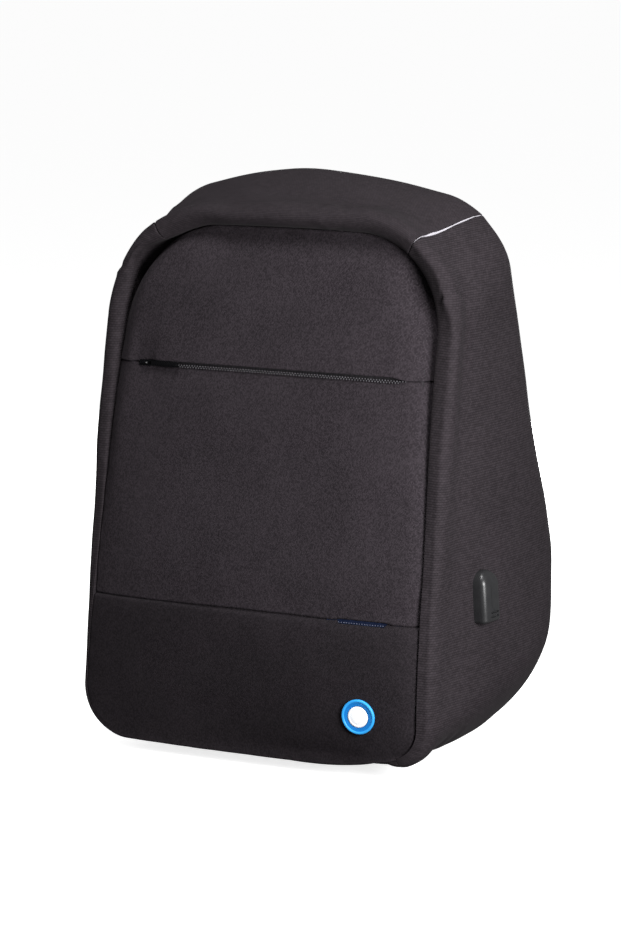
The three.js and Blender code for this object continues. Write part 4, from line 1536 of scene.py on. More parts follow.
@dataclass
class FrontPanels:
    """The three cloth panels of the front, with folded hems at the zip and at the low pocket."""

    wall: float = 3.0
    gap: float = 0.6
    step: float = 2.4
    fine: tuple[float, ...] = (0.0, 0.2, 0.5, 0.9, 1.4, 2.0, 3.0)
    edge_samples: int = 700
    last_station: float = 3.999999
    hem_roll: float = 1.5
    hem_reach: float = 22
    bend_reach: float = 5
    slot_fade: int = 6
    recess_right: Table = Table(
        ("depth", "reach", "roll"),
        (
            (0, 0, 8, 0), (1, 0, 8, 0), (1.3, 2.5, 4, 1.8), (2.35, 3.5, 5, 1.8),
            (2.7, 7, 6, 1.8), (3, 14, 10, 1.8), (3.15, 20, 13, 1.8), (3.3, 22, 17, 1.8),
            (3.45, 18, 14, 1.8), (3.65, 6, 11, 1.8), (4, 3, 20, 1.8), (5, 1.5, 30, 1.8),
        ),
        level_ends=True,
    )
    recess_left: Table = Table(
        ("depth", "reach", "roll"),
        (
            (0, 0, 8, 0), (1, 0, 8, 0), (1.3, 0, 8, 0.5), (2.3, 0.5, 6, 0.8),
            (2.7, 4, 5, 1.6), (3, 8, 7, 1.8), (3.3, 10.5, 4.5, 1.8), (3.5, 10, 4.5, 1.8),
            (3.7, 5, 6, 1.8), (4, 3, 16, 1.8), (5, 1.5, 30, 1.8),
        ),
        level_ends=True,
    )
    recess_fade: float = 1.5
    overlap: float = 1.2
    overlap_fade: int = 8
    sag_fade: int = 3
    sag_samples: int = 60
    flap_rows: tuple[Pair, ...] = ((0.8, 2.0), (4.0, 3.0))
    flap_wall: float = 0.4
    waves: tuple[Wave, ...] = (Wave(0.55, 120, 31), Wave(0.2, 42, 32))
    edge_wave: Wave = Wave(0.3, 15, 33)
    edge_reach: float = 10

    def sag(self, x: Array, base: Array) -> Array:
        """How far the front's bottom edge lies above a straight line between its corners.

        Args:
            x: places across the bag.
            base: heights of the straight line there.

        Returns:
            Millimetres.
        """
        stations = np.linspace(0, 1, self.sag_samples)
        right = SHELL.front_right.place(stations)[0]
        left = SHELL.front_left.place(stations)[0]
        across = np.concatenate([-left[::-1, 0], right[1:, 0]])
        height = np.concatenate([left[::-1, 1], right[1:, 1]]) - self.overlap
        return np.interp(x, across, height) - base

    def hem(self, distance: Array) -> Array:
        """Fading of a hem's lift with the distance from its edge."""
        return np.exp(-((distance / self.hem_reach) ** 2))

    def sides(self) -> tuple[Outline, Outline]:
        """The front's outline on the right and on the left, inside its seam."""
        return SHELL.front_right.inset(self.gap), SHELL.front_left.inset(self.gap)

    def edge(self, outline: Outline, plan: Patch, share: Array) -> Array:
        """One side edge of a panel.

        Args:
            outline: the front's outline on that side.
            plan: the panel's plan.
            share: shares of the way up the edge.

        Returns:
            Points across and up.
        """
        start = outline.side_station(plan.low) if plan.low else 1.0
        end = outline.side_station(plan.high) if plan.high else self.last_station
        stations = np.linspace(start, end, self.edge_samples)
        points = outline.place(stations)[0]
        run = np.concatenate([[0], np.cumsum(np.linalg.norm(np.diff(points, axis=0), axis=1))])
        return outline.place(np.interp(share * run[-1], run, stations))[0]

    def spread(self, plan: Patch) -> Spread:
        """Lays out a panel's mesh as seen from the front.

        Args:
            plan: the panel's plan.

        Returns:
            The mesh seen from the front.
        """
        tall = (plan.high or SHELL.front.top) - (plan.low or SHELL.front.bottom)
        wide = 2 * SHELL.front.half_low
        up = edge_steps(tall, self.step, self.fine) / tall
        across = edge_steps(wide, self.step, self.fine) / wide
        right, left = (self.edge(side, plan, up) for side in self.sides())
        x = -left[:, :1] * (1 - across) + right[:, :1] * across
        base = left[:, 1:] * (1 - across) + right[:, 1:] * across
        climb = (base - base[:1]) / (base[-1:] - base[:1])
        raised = plan.lower.half(x) * (1 - climb) ** self.slot_fade if plan.lower else 0 * x
        lowered = plan.upper.half(x) * climb**self.slot_fade if plan.upper else 0 * x
        if plan.low is None:
            raised = self.sag(x[:1], base[:1]) * (1 - climb) ** self.sag_fade
        z = base + SHELL.front.rise(x, base) + raised - lowered
        return Spread(x, z, climb, z - base[:1], base[-1:] - z, raised, lowered)

    def depth(self, plan: Patch, cloth: Spread) -> tuple[Array, Array]:
        """How far back a panel's cloth lies.

        Args:
            plan: the panel's plan.
            cloth: its mesh seen from the front.

        Returns:
            Depth of its points, and their distance from the front's outer edge.
        """
        x, z = cloth.x, cloth.z
        part_low = plan.lower.part(x) if plan.lower else 1.0
        part_high = plan.upper.part(x) if plan.upper else 1.0
        stand = plan.lower.stand(x) if plan.lower else 1.0
        y = SHELL.front_face(x, z)
        y = y + plan.sink * part_high * self.hem(cloth.above) - plan.lift * stand * self.hem(cloth.below)
        y = y + plan.bend * np.exp(-cloth.above / self.bend_reach)
        right, left = (side.distance(np.abs(x), z) for side in self.sides())
        away, station = (np.where(x > 0, a, b) for a, b in zip(right, left))
        hollow, reach, edge_roll = (
            np.where(x > 0, self.recess_right.read(name, station), self.recess_left.read(name, station))
            for name in self.recess_right.names
        )
        y = y + roll(away, edge_roll) + hollow * np.exp(-((away / reach) ** self.recess_fade))
        if plan.low is None:
            y = y + SHELL.recede(x, z) - self.overlap * (1 - cloth.climb) ** self.overlap_fade
        if plan.lower:
            y = y + roll(np.maximum(cloth.below - cloth.raised, 0), self.hem_roll * part_low)
        if plan.upper:
            y = y + roll(np.maximum(cloth.above - cloth.lowered, 0), self.hem_roll * part_high)
        return y, away

    def flap(
        self, slot: Slot, points: Array, inner: Array, along: Array
    ) -> tuple[Array, Array, Array]:
        """Adds the cloth that goes on behind the upper panel where an opening is sewn shut.

        Args:
            slot: the opening.
            points: outside of the panel.
            inner: its inside.
            along: metres along its cloth.

        Returns:
            The three with the flap's rows after them.
        """
        x = points[-1:, :, 0]
        shut = (slot.half_gap - slot.half(x)) / (slot.half_gap - slot.seam_gap)
        for rise, back in self.flap_rows:
            last = points[-1:]
            extra = np.stack([x, last[..., 1] + back * shut, last[..., 2] + rise * shut], -1)
            points = np.concatenate([points, extra])
            inner = np.concatenate([inner, extra + (0, self.flap_wall, 0)])
            along = np.concatenate([along, along[-1:] + (0, back * MM)])
        return points, inner, along

    def panel(self, plan: Patch) -> Object:
        """One panel, walled backwards.

        Args:
            plan: the panel's plan.

        Returns:
            The object.
        """
        cloth = self.spread(plan)
        y, away = self.depth(plan, cloth)
        points = np.stack([cloth.x, y, cloth.z], -1)
        uneven = sum(wave.read(points) for wave in self.waves)
        near = np.exp(-away / self.edge_reach)
        points[..., 1] -= uneven * (1 - near) + self.edge_wave.read(points, near)
        inner = points + (0, self.wall, 0)
        along = np.stack([cloth.x, cloth.z], -1) * MM
        if plan.upper is POCKET_SLOT:
            points, inner, along = self.flap(plan.upper, points, inner, along)
        obj = wall_object(plan.name, points, inner, along)
        settle(obj, plan.finish, "panel_cloth", plan.node)
        plan.cut.declare(obj, ["side_right", "side_left"])
        return obj

    def build(self) -> Object:
        """Builds the panels and returns the lower one, which carries the badge."""
        upper = Patch(
            "panel_upper", "front_panel_upper", ZIP_HEIGHT, None, ZIP_SLOT, None,
            PANEL_CLOTH, Cut(0.255, 0.11, 0.0255), lift=1.8,
        )
        main_panel = Patch(
            "panel_main", "front_panel_main", POCKET_HEIGHT, ZIP_HEIGHT, POCKET_SLOT, ZIP_SLOT,
            PANEL_CLOTH, Cut(0.265, 0.175), lift=-3.0, sink=1,
        )
        # The lower panel takes the panel cloth painted darker as painted shade.
        lower = Patch(
            "panel_lower", "front_panel_lower", None, POCKET_HEIGHT, None, POCKET_SLOT,
            LOW_CLOTH_PAINTED_SHADE, Cut(0.268, 0.105, 0.027), bend=1.3,
        )
        self.panel(upper)
        self.panel(main_panel)
        return self.panel(lower)


@dataclass
class FrontZip:
    """The front pocket's zip: tape, coil, slider and the puller that swings on it."""

    tape_half: float = 119
    tape_width: float = 8
    tape_set: float = 4.5
    tape_wall: float = 0.8
    tape_steps: tuple[int, int] = (120, 13)
    coil_from: float = -96
    coil_to: float = 107
    coil_steps: int = 160
    coil_set: float = 1.7
    coil_drop: float = -1.1
    coil_rows: tuple[Pair, ...] = ((0.6, 0.0), (-0.6, 1.1))
    coil_out: Triple = (0.0, -0.97, 0.24)
    coil_pitch: float = 2.2
    coil_turn: Triple = (1.15, 1.2, 1.0)
    slider_x: float = -102
    body: Plate = Plate(-5.5, 4.5, -2.2, 2.2, 1.6, -1.9, -0.2, 0.45)
    arch: tuple[Pair, ...] = (
        (-3.2, -0.7), (-2.3, -0.7), (-2.3, 1.5), (-2.0, 1.75), (2.0, 1.75), (2.3, 1.5),
        (2.3, -0.7), (3.2, -0.7), (3.2, 1.6), (2.4, 2.5), (-2.4, 2.5), (-3.2, 1.6),
    )
    arch_half: float = 0.8
    arch_rim: float = 0.2
    plate: Plate = Plate(-0.5, 30, -1.85, 1.85, 1.4, 0.25, 1.25, 0.3)
    eye: tuple[float, ...] = (0.5, 6, -1.25, 1.25, 0.4)
    grip: Plate = Plate(9, 28.6, -1.0, 1.0, 0.8, 1.1, 1.45, 0.14)

    def line(self, x: Array, across: float, depth: float) -> Array:
        """Points along the zip.

        Args:
            x: places across the bag.
            across: how far above the zip's middle.
            depth: how far behind the front face.

        Returns:
            Points in design millimetres.
        """
        z = ZIP_HEIGHT + SHELL.front.rise(x, np.full_like(x, ZIP_HEIGHT)) + across
        return np.stack([x, SHELL.front_face(x, z) + depth, z], -1)

    def tape(self) -> None:
        """The woven tape behind the slot."""
        steps, ways = self.tape_steps
        x = np.linspace(-self.tape_half, self.tape_half, steps)
        places = np.linspace(-self.tape_width, self.tape_width, ways)
        outer = np.stack([self.line(x, place, self.tape_set) for place in places])
        inner = outer - grid_normals(outer) * self.tape_wall
        along = cloth_lengths(outer, 1)
        obj = wall_object("zip_tape_cloth", outer, inner, along)
        settle(obj, ZIP_TAPE, "zip_tape", "zip_tape")
        Cut(0.016, 0.24).declare(obj, ["panel_upper", "panel_main"])

    def coil(self) -> None:
        """The coil's turns, side by side along the slot."""
        x = np.linspace(self.coil_from, self.coil_to, self.coil_steps)
        rows = [self.line(x + shift, self.coil_drop + rise, self.coil_set) for rise, shift in self.coil_rows]
        obj = REPEAT.lay("zip_teeth", rows, self.coil_out, self.coil_pitch, self.coil_turn, ZIP_COIL)
        settle(obj, ZIP_COIL, "zip_coil", "zip_coil")

    def slider(self) -> None:
        """The slider's body with the bridge that holds the puller, and the puller."""
        z = ZIP_HEIGHT + float(SHELL.front.rise(np.array(self.slider_x), np.array(ZIP_HEIGHT)))
        frame = SHELL.front_frame(self.slider_x, z)
        upright = frame @ Matrix.Rotation(math.pi / 2, 4, "X")
        bridge = plate_mesh([list(self.arch)], -self.arch_half, self.arch_half, self.arch_rim, upright)
        slider = joined_object("slider_body", [self.body.mesh(frame), bridge])
        settle(slider, BLACK_METAL, "black_metal", "zip_slider")
        plate = self.plate.mesh(frame, rounded_rectangle(*self.eye))
        puller = joined_object("puller_plate", [plate, self.grip.mesh(frame)])
        settle(puller, BLACK_METAL, "black_metal", "zip_puller", body=PULLER)

    def build(self) -> None:
        """Builds the zip."""
        self.tape()
        self.coil()
        self.slider()


@dataclass
class PocketLining:
    """The navy lining in the low pocket's mouth, with its row of stitches."""

    start: float = 58
    end: float = 116
    half_width: float = 7
    depth: float = 3.6
    wall: float = 0.8
    steps: tuple[int, int] = (60, 13)
    crumple: Wave = Wave(0.25, 9, 41)
    stitch_drop: float = 0.6
    stitch_ahead: float = 0.3
    stitch_margin: int = 8
    stitch_out: Triple = (0.0, -1.0, 0.1)
    stitch_pitch: float = 2.0
    stitch: Triple = (1.2, 0.5, 0.45)

    def line(self, x: Array, rise: float) -> Array:
        """Points along the lining, some way above the mouth's middle."""
        z = POCKET_HEIGHT + rise + 0 * x
        return np.stack([x, SHELL.front_face(x, z) + self.depth, z], -1)

    def build(self) -> None:
        """Builds the lining and its stitches."""
        steps, ways = self.steps
        x = np.linspace(self.start, self.end, steps)
        heights = np.linspace(-self.half_width, self.half_width, ways)
        outer = np.stack([self.line(x, height) for height in heights])
        outer[..., 1] += self.crumple.read(outer)
        inner = outer - grid_normals(outer) * self.wall
        along = cloth_lengths(outer, 1)
        obj = wall_object("lining_cloth", outer, inner, along)
        settle(obj, LINING, "lining", "pocket_lining")
        Cut(0.014, 0.058).declare(obj, ["panel_lower"])
        path = self.line(x, -self.stitch_drop)[self.stitch_margin : -self.stitch_margin]
        path[:, 1] -= self.stitch_ahead
        sizes = self.stitch_pitch, self.stitch
        stitches = REPEAT.lay("lining_stitches", [path], self.stitch_out, *sizes, PALE_THREAD)
        settle(stitches, PALE_THREAD, "lining")


@dataclass
class Badge:
    """The round badge: a dished blue disc with a raised rim, and a plain white domed middle.

    The outlines are pairs of radius and height.
    """

    x: float = 89.3
    z: float = 49.1
    seat: float = 0.35
    steps: int = 96
    reach: float = 30
    feelers: tuple[Pair, ...] = ((0, 0), (10, 0), (-5, 8.7), (-5, -8.7))
    disc: tuple[Pair, ...] = (
        (0, 0), (12.2, 0), (12.5, 0.25), (12.5, 1.5), (12.38, 1.8), (12.1, 1.97), (11.6, 2.05), (11.1, 1.98),
        (10.8, 1.8), (10.6, 1.58), (10.3, 1.5), (8.2, 1.5), (7.95, 1.42), (7.9, 0.95), (0, 0.9),
    )
    middle: tuple[Pair, ...] = (
        (0, 1.2), (7.5, 1.2), (7.6, 1.35), (7.55, 1.7), (7.3, 1.95), (6.8, 2.08), (6.2, 2.1), (5.9, 2.02),
        (5.6, 2.02), (5.2, 2.12), (3.5, 2.17), (0, 2.2),
    )

    def build(self, panel: Object) -> None:
        """Builds the disc and its middle on the panel that carries them.

        Args:
            panel: the cloth under the badge.
        """
        frame = SHELL.front_frame(self.x, self.z)
        spots = felt(panel, frame, self.feelers, self.reach)
        out = (spots[2] - spots[1]).cross(spots[3] - spots[1]).normalized()
        right = (spots[1] - spots[0]) - (spots[1] - spots[0]).dot(out) * out
        right.normalize()
        frame = framed(right, out.cross(right), out, spots[0]) @ Matrix.Translation((0, 0, self.seat))
        disc = turned_object("badge_rim", self.disc, self.steps, frame)
        settle(disc, BADGE_BLUE, "badge_blue", "badge_disc")
        middle = turned_object("badge_middle", self.middle, self.steps, frame)
        settle(middle, BADGE_WHITE, "badge_white", "badge_centre")


@dataclass
class PortHousing:
    """The moulded port cover on the right side: rounded above, flat below, with two grooves."""

    way: float = 2.238
    row: float = 7
    ahead: float = 10.5
    half_width: float = 10
    half_height: float = 18.8
    corner: float = 2.5
    least_corner: float = 0.3
    corner_steps: int = 7
    dome_steps: int = 33
    reach: float = 40
    sunk: float = 0.4
    crest: float = 9.2
    fillet: float = 4.0
    fillet_steps: int = 7
    foot: float = 2.5
    crown: float = 0.3
    crown_span: float = 9
    crown_insets: tuple[float, ...] = (1.5, 3.5, 6, 8)
    slope_from: float = 4
    slope_span: float = 14
    slope_fall: float = 3.2
    groove_low: float = -14.2
    groove_pitch: float = 3
    groove_ends: Pair = (-3.4, 6.2)
    groove_half: float = 0.8
    groove_corner: float = 0.5
    groove_depth: float = 1.8
    cutter_over: float = 2
    cutter_rim: float = 0.05
    sharp_angle: float = 38

    def frame(self) -> Matrix:
        """Frame on the band with X towards the back, Y up and Z out."""
        here = SHELL.band(self.way, self.row)
        up = Vector(SHELL.band(self.way + 0.1, self.row) - here).normalized()
        rearwards = Vector(SHELL.band(self.way, self.row + 1) - SHELL.band(self.way, self.row - 1))
        out = rearwards.cross(up).normalized()
        seat = framed(up.cross(out), up, out, Vector(packed(here)))
        return seat @ Matrix.Translation((-self.ahead, 0, 0))

    def ring(self, inset: float) -> Array:
        """The cover's outline, smaller all round.

        Args:
            inset: how much smaller.

        Returns:
            Points across and up in its frame, in millimetres.
        """
        wide = self.half_width - inset
        tall = self.half_height - inset
        corner = max(self.corner - inset, self.least_corner)
        low = np.linspace(-0.5, 0, self.corner_steps) * math.pi
        over = np.linspace(0, 1, self.dome_steps) * math.pi
        top = self.half_height - self.half_width
        across, up = wide - corner + corner * np.cos(low), -tall + corner + corner * np.sin(low)
        right = np.column_stack([across, up])
        dome = np.column_stack([wide * np.cos(over), top + wide * np.sin(over)])
        left = right[::-1] * (-1, 1)
        return np.concatenate([right, dome, left])

    def rings(self, frame: Matrix, side: Object) -> list[Array]:
        """The cover's rings from the cloth to its crest.

        Args:
            frame: the cover's frame.
            side: the cloth under the cover.

        Returns:
            Points of each ring in the frame.
        """
        base = self.ring(0)
        hits = felt(side, frame, base, self.reach)
        seat = [(x, y, (frame.inverted() @ hit).z - self.sunk) for (x, y), hit in zip(base, hits)]
        turn = np.linspace(0, 0.5, self.fillet_steps) * math.pi
        rises = [(0.0, -self.fillet - self.foot)]
        rises += [(self.fillet * (1 - math.cos(a)), self.fillet * (math.sin(a) - 1)) for a in turn]
        rises += [
            (self.fillet + inset, self.crown * (1 - (1 - inset / self.crown_span) ** 2))
            for inset in self.crown_insets
        ]
        rings = [np.array(seat)]
        for inset, drop in rises:
            flat = self.ring(inset)
            slope = np.clip((flat[:, 1] - self.slope_from) / self.slope_span, 0, 1)
            height = (self.crest + drop) - self.slope_fall * slope**2
            rings.append(np.column_stack([flat, height]))
        return rings

    def cover(self, frame: Matrix, rings: list[Array]) -> Object:
        """The closed cover through its rings, still without grooves.

        Args:
            frame: the cover's frame.
            rings: points of each ring in the frame.

        Returns:
            The object.
        """
        count = len(rings[0])
        ring = np.arange(count)
        after = (ring + 1) % count
        faces = []
        for level in range(len(rings) - 1):
            a, b = level * count, (level + 1) * count
            faces += np.stack([a + ring, a + after, b + after, b + ring], -1).tolist()
        faces.append((ring + (len(rings) - 1) * count).tolist())
        faces.append(ring[::-1].tolist())
        moved = np.array([frame @ Vector(point) for point in np.concatenate(rings)])
        return mesh_object("port_cover", moved, np.array(faces, dtype=object))

    def build(self, side: Object) -> None:
        """Builds the cover on the side that carries it, and cuts its grooves.

        Args:
            side: the cloth under the cover.
        """
        frame = self.frame()
        cover = self.cover(frame, self.rings(frame, side))
        left, right = self.groove_ends
        half, corner = self.groove_half, self.groove_corner
        under, over = self.crest - self.groove_depth, self.crest + self.cutter_over
        cutters = [
            Plate(left, right, low - half, low + half, corner, under, over, self.cutter_rim).mesh(frame)
            for low in (self.groove_low, self.groove_low + self.groove_pitch)
        ]
        cutter = joined_object("groove_cutter", cutters)
        cut = cover.modifiers.new("grooves", "BOOLEAN")
        cut.object = cutter
        cut.solver = "EXACT"
        plain = flattened(cover)
        bpy.data.objects.remove(cutter)
        plain.set_sharp_from_angle(angle=math.radians(self.sharp_angle))
        settle(cover, HOUSING_PLASTIC, "housing_plastic", "usb_housing")


@dataclass
class BackHarness:
    """What the photo hides: the padded back, the two shoulder straps and the grab handle."""

    gap: float = 1.2
    wall: float = 6
    step: float = 3.0
    fine: tuple[float, ...] = (0, 0.4, 1, 2, 3.5)
    edge_parts: tuple[tuple[float, float, int], ...] = ((1, 2, 60), (2, 3, 90), (3, 3.999999, 40))
    edge_roll: float = 4.0
    back_wave: Wave = Wave(0.4, 110, 51)
    strap_top: Pair = (39, 350)
    strap_bend: Pair = (72, 235)
    strap_end: Pair = (106, 84)
    strap_gap: float = 0.4
    strap_shape: Table = Table(
        ("width", "thick"),
        ((0, 58, 9), (0.12, 64, 13), (0.55, 62, 13), (0.68, 44, 10), (0.76, 27, 3.5), (1, 26, 3)),
    )
    pad_share: float = 0.735
    pad_steps: tuple[int, int] = (110, 33)
    pad_edge: float = 1.2
    pad_square: int = 5
    pad_end: float = 0.03
    pad_full: float = 0.96
    pad_wave: Wave = Wave(0.3, 30, 61)
    pad_groove: float = 1.3
    pad_groove_at: float = 0.74
    pad_groove_width: float = 0.05
    web_steps: tuple[int, int] = (60, 13)
    web_under_pad: float = 0.05
    web_half: float = 13.0
    web_share: float = 0.96
    web_wall: float = 1.6
    web_edge: float = 0.6
    stitch_columns: tuple[int, int] = (4, 28)
    stitch_lift: float = 0.1
    stitch_out: Triple = (0.0, 1.0, 0.0)
    stitch_pitch: float = 3.6
    stitch: Triple = (2.6, 0.7, 0.6)
    handle_z: float = 378
    handle_half: float = 11
    handle_span: float = 40
    handle_foot: float = 12
    handle_arch: float = 26
    handle_wall: float = 4
    handle_steps: tuple[int, int, int] = (8, 70, 15)
    handle_pinch: float = 0.14
    handle_edge: float = 0.7
    foot_margin: float = 2
    foot_half: float = 8
    foot_steps: int = 12
    foot_pitch: float = 2.6
    foot_stitch: Triple = (2.0, 0.7, 0.6)

    def panel(self) -> None:
        """The padded back panel."""
        outline = SHELL.back.inset(self.gap)
        parts = [np.linspace(low, high, count) for low, high, count in self.edge_parts]
        edge = outline.place(np.concatenate([parts[0], *(part[1:] for part in parts[1:])]))[0]
        half = SHELL.back.half_low
        share = 1 - edge_steps(2 * half, self.step, self.fine) / half
        x = edge[:, :1] * share[None, :]
        base = np.broadcast_to(edge[:, 1:], x.shape)
        z = base + outline.rise(x, base)
        y = SHELL.back_face(x, z) - roll(outline.distance(np.abs(x), z)[0], self.edge_roll)
        points = np.stack([x, y, z], -1)
        points[..., 1] += self.back_wave.read(points)
        inner = points - grid_normals(points) * self.wall
        obj = wall_object("back_pad", points, inner, np.stack([-x, z], -1) * MM)
        settle(obj, BACK_CLOTH, "back_cloth", "back_panel")

    def lay(self, side: int, place: Array, share: Array) -> Array:
        """Points on the back under a strap.

        Args:
            side: 1 for the right strap, -1 for the left one.
            place: share of the strap's length.
            share: share of its half width, from -1 to 1.

        Returns:
            Points in design millimetres.
        """
        top, bend, end = (np.array(p, float) for p in (self.strap_top, self.strap_bend, self.strap_end))
        t = place[..., None]
        middle = (1 - t) ** 2 * top + 2 * t * (1 - t) * bend + t**2 * end
        heading = 2 * (1 - t) * (bend - top) + 2 * t * (end - bend)
        heading /= np.linalg.norm(heading, axis=-1, keepdims=True)
        offset = share * self.strap_shape.read("width", place) / 2
        x = side * (middle[..., 0] - heading[..., 1] * offset)
        z = middle[..., 1] + heading[..., 0] * offset
        return np.stack([x, SHELL.back_face(x, z) + self.strap_gap, z], -1)

    def pad(self, side: int, word: str) -> Array:
        """The pad of a strap.

        Args:
            side: 1 for the right strap, -1 for the left one.
            word: the side's name.

        Returns:
            Points of its outside.
        """
        long, wide = self.pad_steps
        places, shares = np.linspace(0, self.pad_share, long), np.linspace(-1, 1, wide)
        place, share = np.meshgrid(places, shares, indexing="ij")
        under = self.lay(side, place, share)
        thick = self.strap_shape.read("thick", place)
        ends = np.minimum(place, self.pad_share - place) / self.pad_share
        full = np.sqrt(np.clip(1 - np.abs(share) ** self.pad_square, 0, 1))
        full = full * np.clip(ends / self.pad_end, 0, 1) ** 0.5
        groove = np.exp(-(((np.abs(share) - self.pad_groove_at) / self.pad_groove_width) ** 2))
        rise = self.pad_edge + (thick - self.pad_edge) * full * self.pad_full
        rise = rise - self.pad_groove * groove * full
        pad = under + rise[..., None] * (0, 1, 0)
        pad[..., 1] += self.pad_wave.read(pad) * full
        along = cloth_lengths(pad, 1)
        order = slice(None, None, side)
        obj = wall_object(f"strap_pad_{word}", pad[:, order], under[:, order], along[:, order])
        settle(obj, STRAP_CLOTH, "strap_cloth", f"shoulder_strap_{word}")
        return pad

    def webbing(self, side: int, word: str) -> None:
        """The webbing at a strap's lower end.

        Args:
            side: 1 for the right strap, -1 for the left one.
            word: the side's name.
        """
        long, wide = self.web_steps
        places = np.linspace(self.pad_share - self.web_under_pad, 1, long)
        shares = np.linspace(-self.web_share, self.web_share, wide)
        place, share = np.meshgrid(places, shares, indexing="ij")
        narrow = self.web_half * 2 / self.strap_shape.read("width", place)
        under = self.lay(side, place, share * np.minimum(narrow, 1))
        lift = self.web_wall - self.web_edge * np.abs(share) ** 8
        web = under + lift[..., None] * (0, 1, 0)
        along = cloth_lengths(web, 0)
        order = slice(None, None, side)
        obj = wall_object(f"strap_webbing_{word}", web[:, order], under[:, order], along[:, order])
        settle(obj, WEBBING, "webbing")
        Cut(0.026, 0.09).declare(obj, ["back_pad"])

    def strap(self, side: int) -> None:
        """One shoulder strap: its pad, its webbing and its stitches.

        Args:
            side: 1 for the right strap, -1 for the left one.
        """
        word = "right" if side > 0 else "left"
        pad = self.pad(side, word)
        self.webbing(side, word)
        rows = [pad[2:-2, column] + (0, self.stitch_lift, 0) for column in self.stitch_columns]
        name = f"strap_stitches_{word}"
        stitches = REPEAT.lay(name, rows, self.stitch_out, self.stitch_pitch, self.stitch, THREAD)
        settle(stitches, THREAD, "strap_cloth")

    def loop(self) -> None:
        """The grab handle's webbing."""
        span, reach = self.handle_span, self.handle_span + self.handle_foot
        foot, long, wide = self.handle_steps
        before, after = np.linspace(-reach, -span, foot)[:-1], np.linspace(span, reach, foot)[1:]
        x = np.concatenate([before, np.linspace(-span, span, long), after])
        arched = np.maximum(1 - (x / span) ** 2, 0)
        top = []
        under = []
        for way in np.linspace(1, -1, wide):
            z = self.handle_z + way * self.handle_half * (1 - self.handle_pinch * arched)
            y = SHELL.back_face(x, z) + self.strap_gap + self.handle_arch * arched
            edge = self.handle_edge * abs(way) ** 6
            top.append(np.stack([x, y + self.handle_wall - edge, z], -1))
            under.append(np.stack([x, y + edge, z], -1))
        outer, inner = np.stack(top), np.stack(under)
        along = cloth_lengths(outer, 1)
        obj = wall_object("handle_loop", outer, inner, along)
        settle(obj, WEBBING, "webbing", "grab_handle")
        Cut(0.022, 0.14).declare(obj, ["back_pad"])

    def handle(self) -> None:
        """The grab handle: a webbing loop between two stitched feet."""
        self.loop()
        rows = []
        half, margin = self.foot_half, self.foot_margin
        for foot in (-1, 1):
            near = foot * (self.handle_span + margin)
            far = foot * (self.handle_span + self.handle_foot - margin)
            corners = [(near, -half), (far, -half), (far, half), (near, half), (near, -half), (far, half)]
            line = np.concatenate([np.linspace(a, b, self.foot_steps) for a, b in zip(corners, corners[1:])])
            z = self.handle_z + line[:, 1]
            y = SHELL.back_face(line[:, 0], z) + self.strap_gap + self.handle_wall
            rows.append(np.stack([line[:, 0], y, z], -1))
        sizes = self.foot_pitch, self.foot_stitch
        stitches = REPEAT.lay("handle_stitches", rows, self.stitch_out, *sizes, THREAD)
        settle(stitches, THREAD, "webbing")

    def build(self) -> None:
        """Builds the back."""
        self.panel()
        for side in (1, -1):
            self.strap(side)
        self.handle()


@dataclass(frozen=True)
class Lamp:
    """One soft square light: where it hangs, how wide it is and how strong."""

    name: str
    spot: Triple
    width: float
    power: float


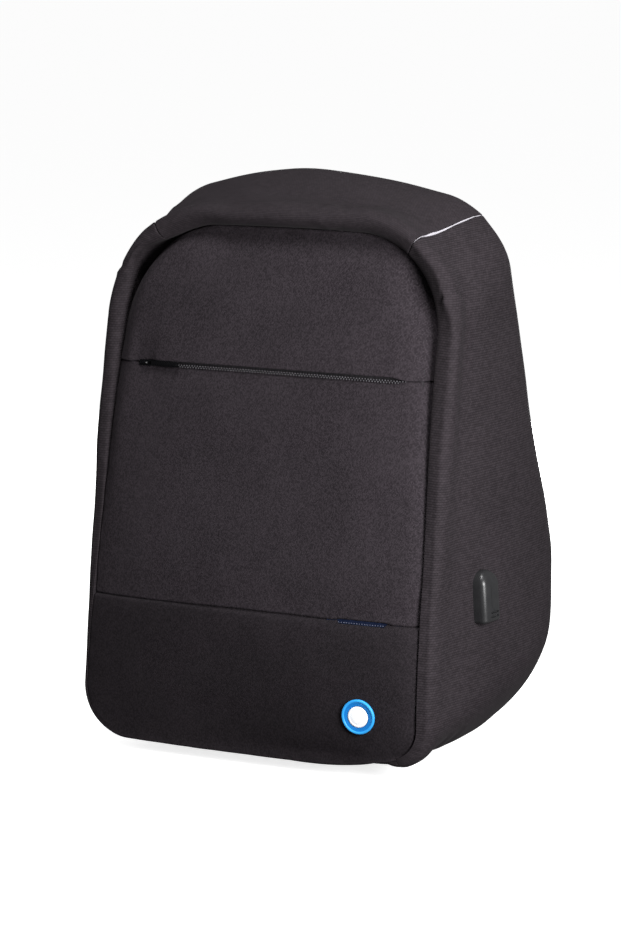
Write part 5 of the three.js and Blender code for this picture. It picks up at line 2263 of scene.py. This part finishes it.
@dataclass
class Studio:
    """The pale floor, the soft lights and the camera."""

    azimuth: float = 28.0
    elevation: float = 9.5
    target: Triple = (0.0095, -0.023, 0.209)
    distance: float = 2.545
    focal_px: float = 3530
    image_height: int = 931
    sensor: float = 36.0
    floor_half: float = 40.0
    floor_drop: float = 0.0002
    floor_shade: float = 0.9
    floor_glow: float = 0.8
    floor_roughness: float = 0.9
    floor_specular: float = 0.1
    world: float = 0.19
    lamps: tuple[Lamp, ...] = (
        Lamp("key", (0.68, -0.46, 0.34), 0.3, 11.6),
        Lamp("top", (0.1, -0.42, 1.5), 0.45, 17.6),
        Lamp("behind", (-0.4, 1.5, 0.25), 0.8, 30.0),
    )

    def camera(self) -> None:
        """Sets the camera at the photo's viewing angle."""
        data = bpy.data.cameras.new("camera")
        data.sensor_fit = "VERTICAL"
        data.sensor_height = self.sensor
        data.lens = self.focal_px / self.image_height * data.sensor_height
        camera = bpy.data.objects.new("camera", data)
        bpy.context.scene.collection.objects.link(camera)
        a, e = math.radians(self.azimuth), math.radians(self.elevation)
        back = Vector((math.sin(a) * math.cos(e), -math.cos(a) * math.cos(e), math.sin(e)))
        camera.location = Vector(self.target) + back * self.distance
        camera.rotation_euler = back.to_track_quat("Z", "Y").to_euler()
        bpy.context.scene.camera = camera

    def floor(self) -> None:
        """Lays the floor."""
        h = self.floor_half
        points = np.array([(-h, -h, 0), (h, -h, 0), (h, h, 0), (-h, h, 0)])
        floor = mesh_object("floor", points - (0, 0, self.floor_drop), np.array([(0, 1, 2, 3)]))
        material, _, shader = new_material("floor")
        shader.inputs["Base Color"].default_value = (*[self.floor_shade] * 3, 1)
        shader.inputs["Roughness"].default_value = self.floor_roughness
        shader.inputs["Specular IOR Level"].default_value = self.floor_specular
        shader.inputs["Emission Color"].default_value = (1, 1, 1, 1)
        shader.inputs["Emission Strength"].default_value = self.floor_glow
        floor.data.materials.append(material)
        floor.visible_diffuse = False
        floor.visible_glossy = False

    def light(self) -> None:
        """Hangs the soft lights round the bag."""
        scene = bpy.context.scene
        for lamp in self.lamps:
            data = bpy.data.lights.new(lamp.name, "AREA")
            data.energy = lamp.power
            data.size = lamp.width
            holder = bpy.data.objects.new(lamp.name, data)
            holder.location = lamp.spot
            away = Vector(lamp.spot) - Vector(self.target)
            holder.rotation_euler = away.to_track_quat("Z", "Y").to_euler()
            scene.collection.objects.link(holder)
        world = bpy.data.worlds.new("studio")
        world.use_nodes = True
        background = world.node_tree.nodes["Background"]
        background.inputs["Color"].default_value = (1, 1, 1, 1)
        background.inputs["Strength"].default_value = self.world
        scene.world = world
        scene.view_settings.view_transform = "Standard"

    def build(self) -> None:
        """Sets the stage."""
        self.camera()
        self.floor()
        self.light()


def main() -> None:
    """Builds every sub-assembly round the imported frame."""
    logging.basicConfig(level=logging.INFO, format="%(name)s %(message)s")
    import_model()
    Studio().build()
    side = Band().build()
    pocket = FrontPanels().build()
    FrontZip().build()
    PocketLining().build()
    Badge().build(pocket)
    PortHousing().build(side)
    BackHarness().build()


if __name__ == "__main__":
    main()
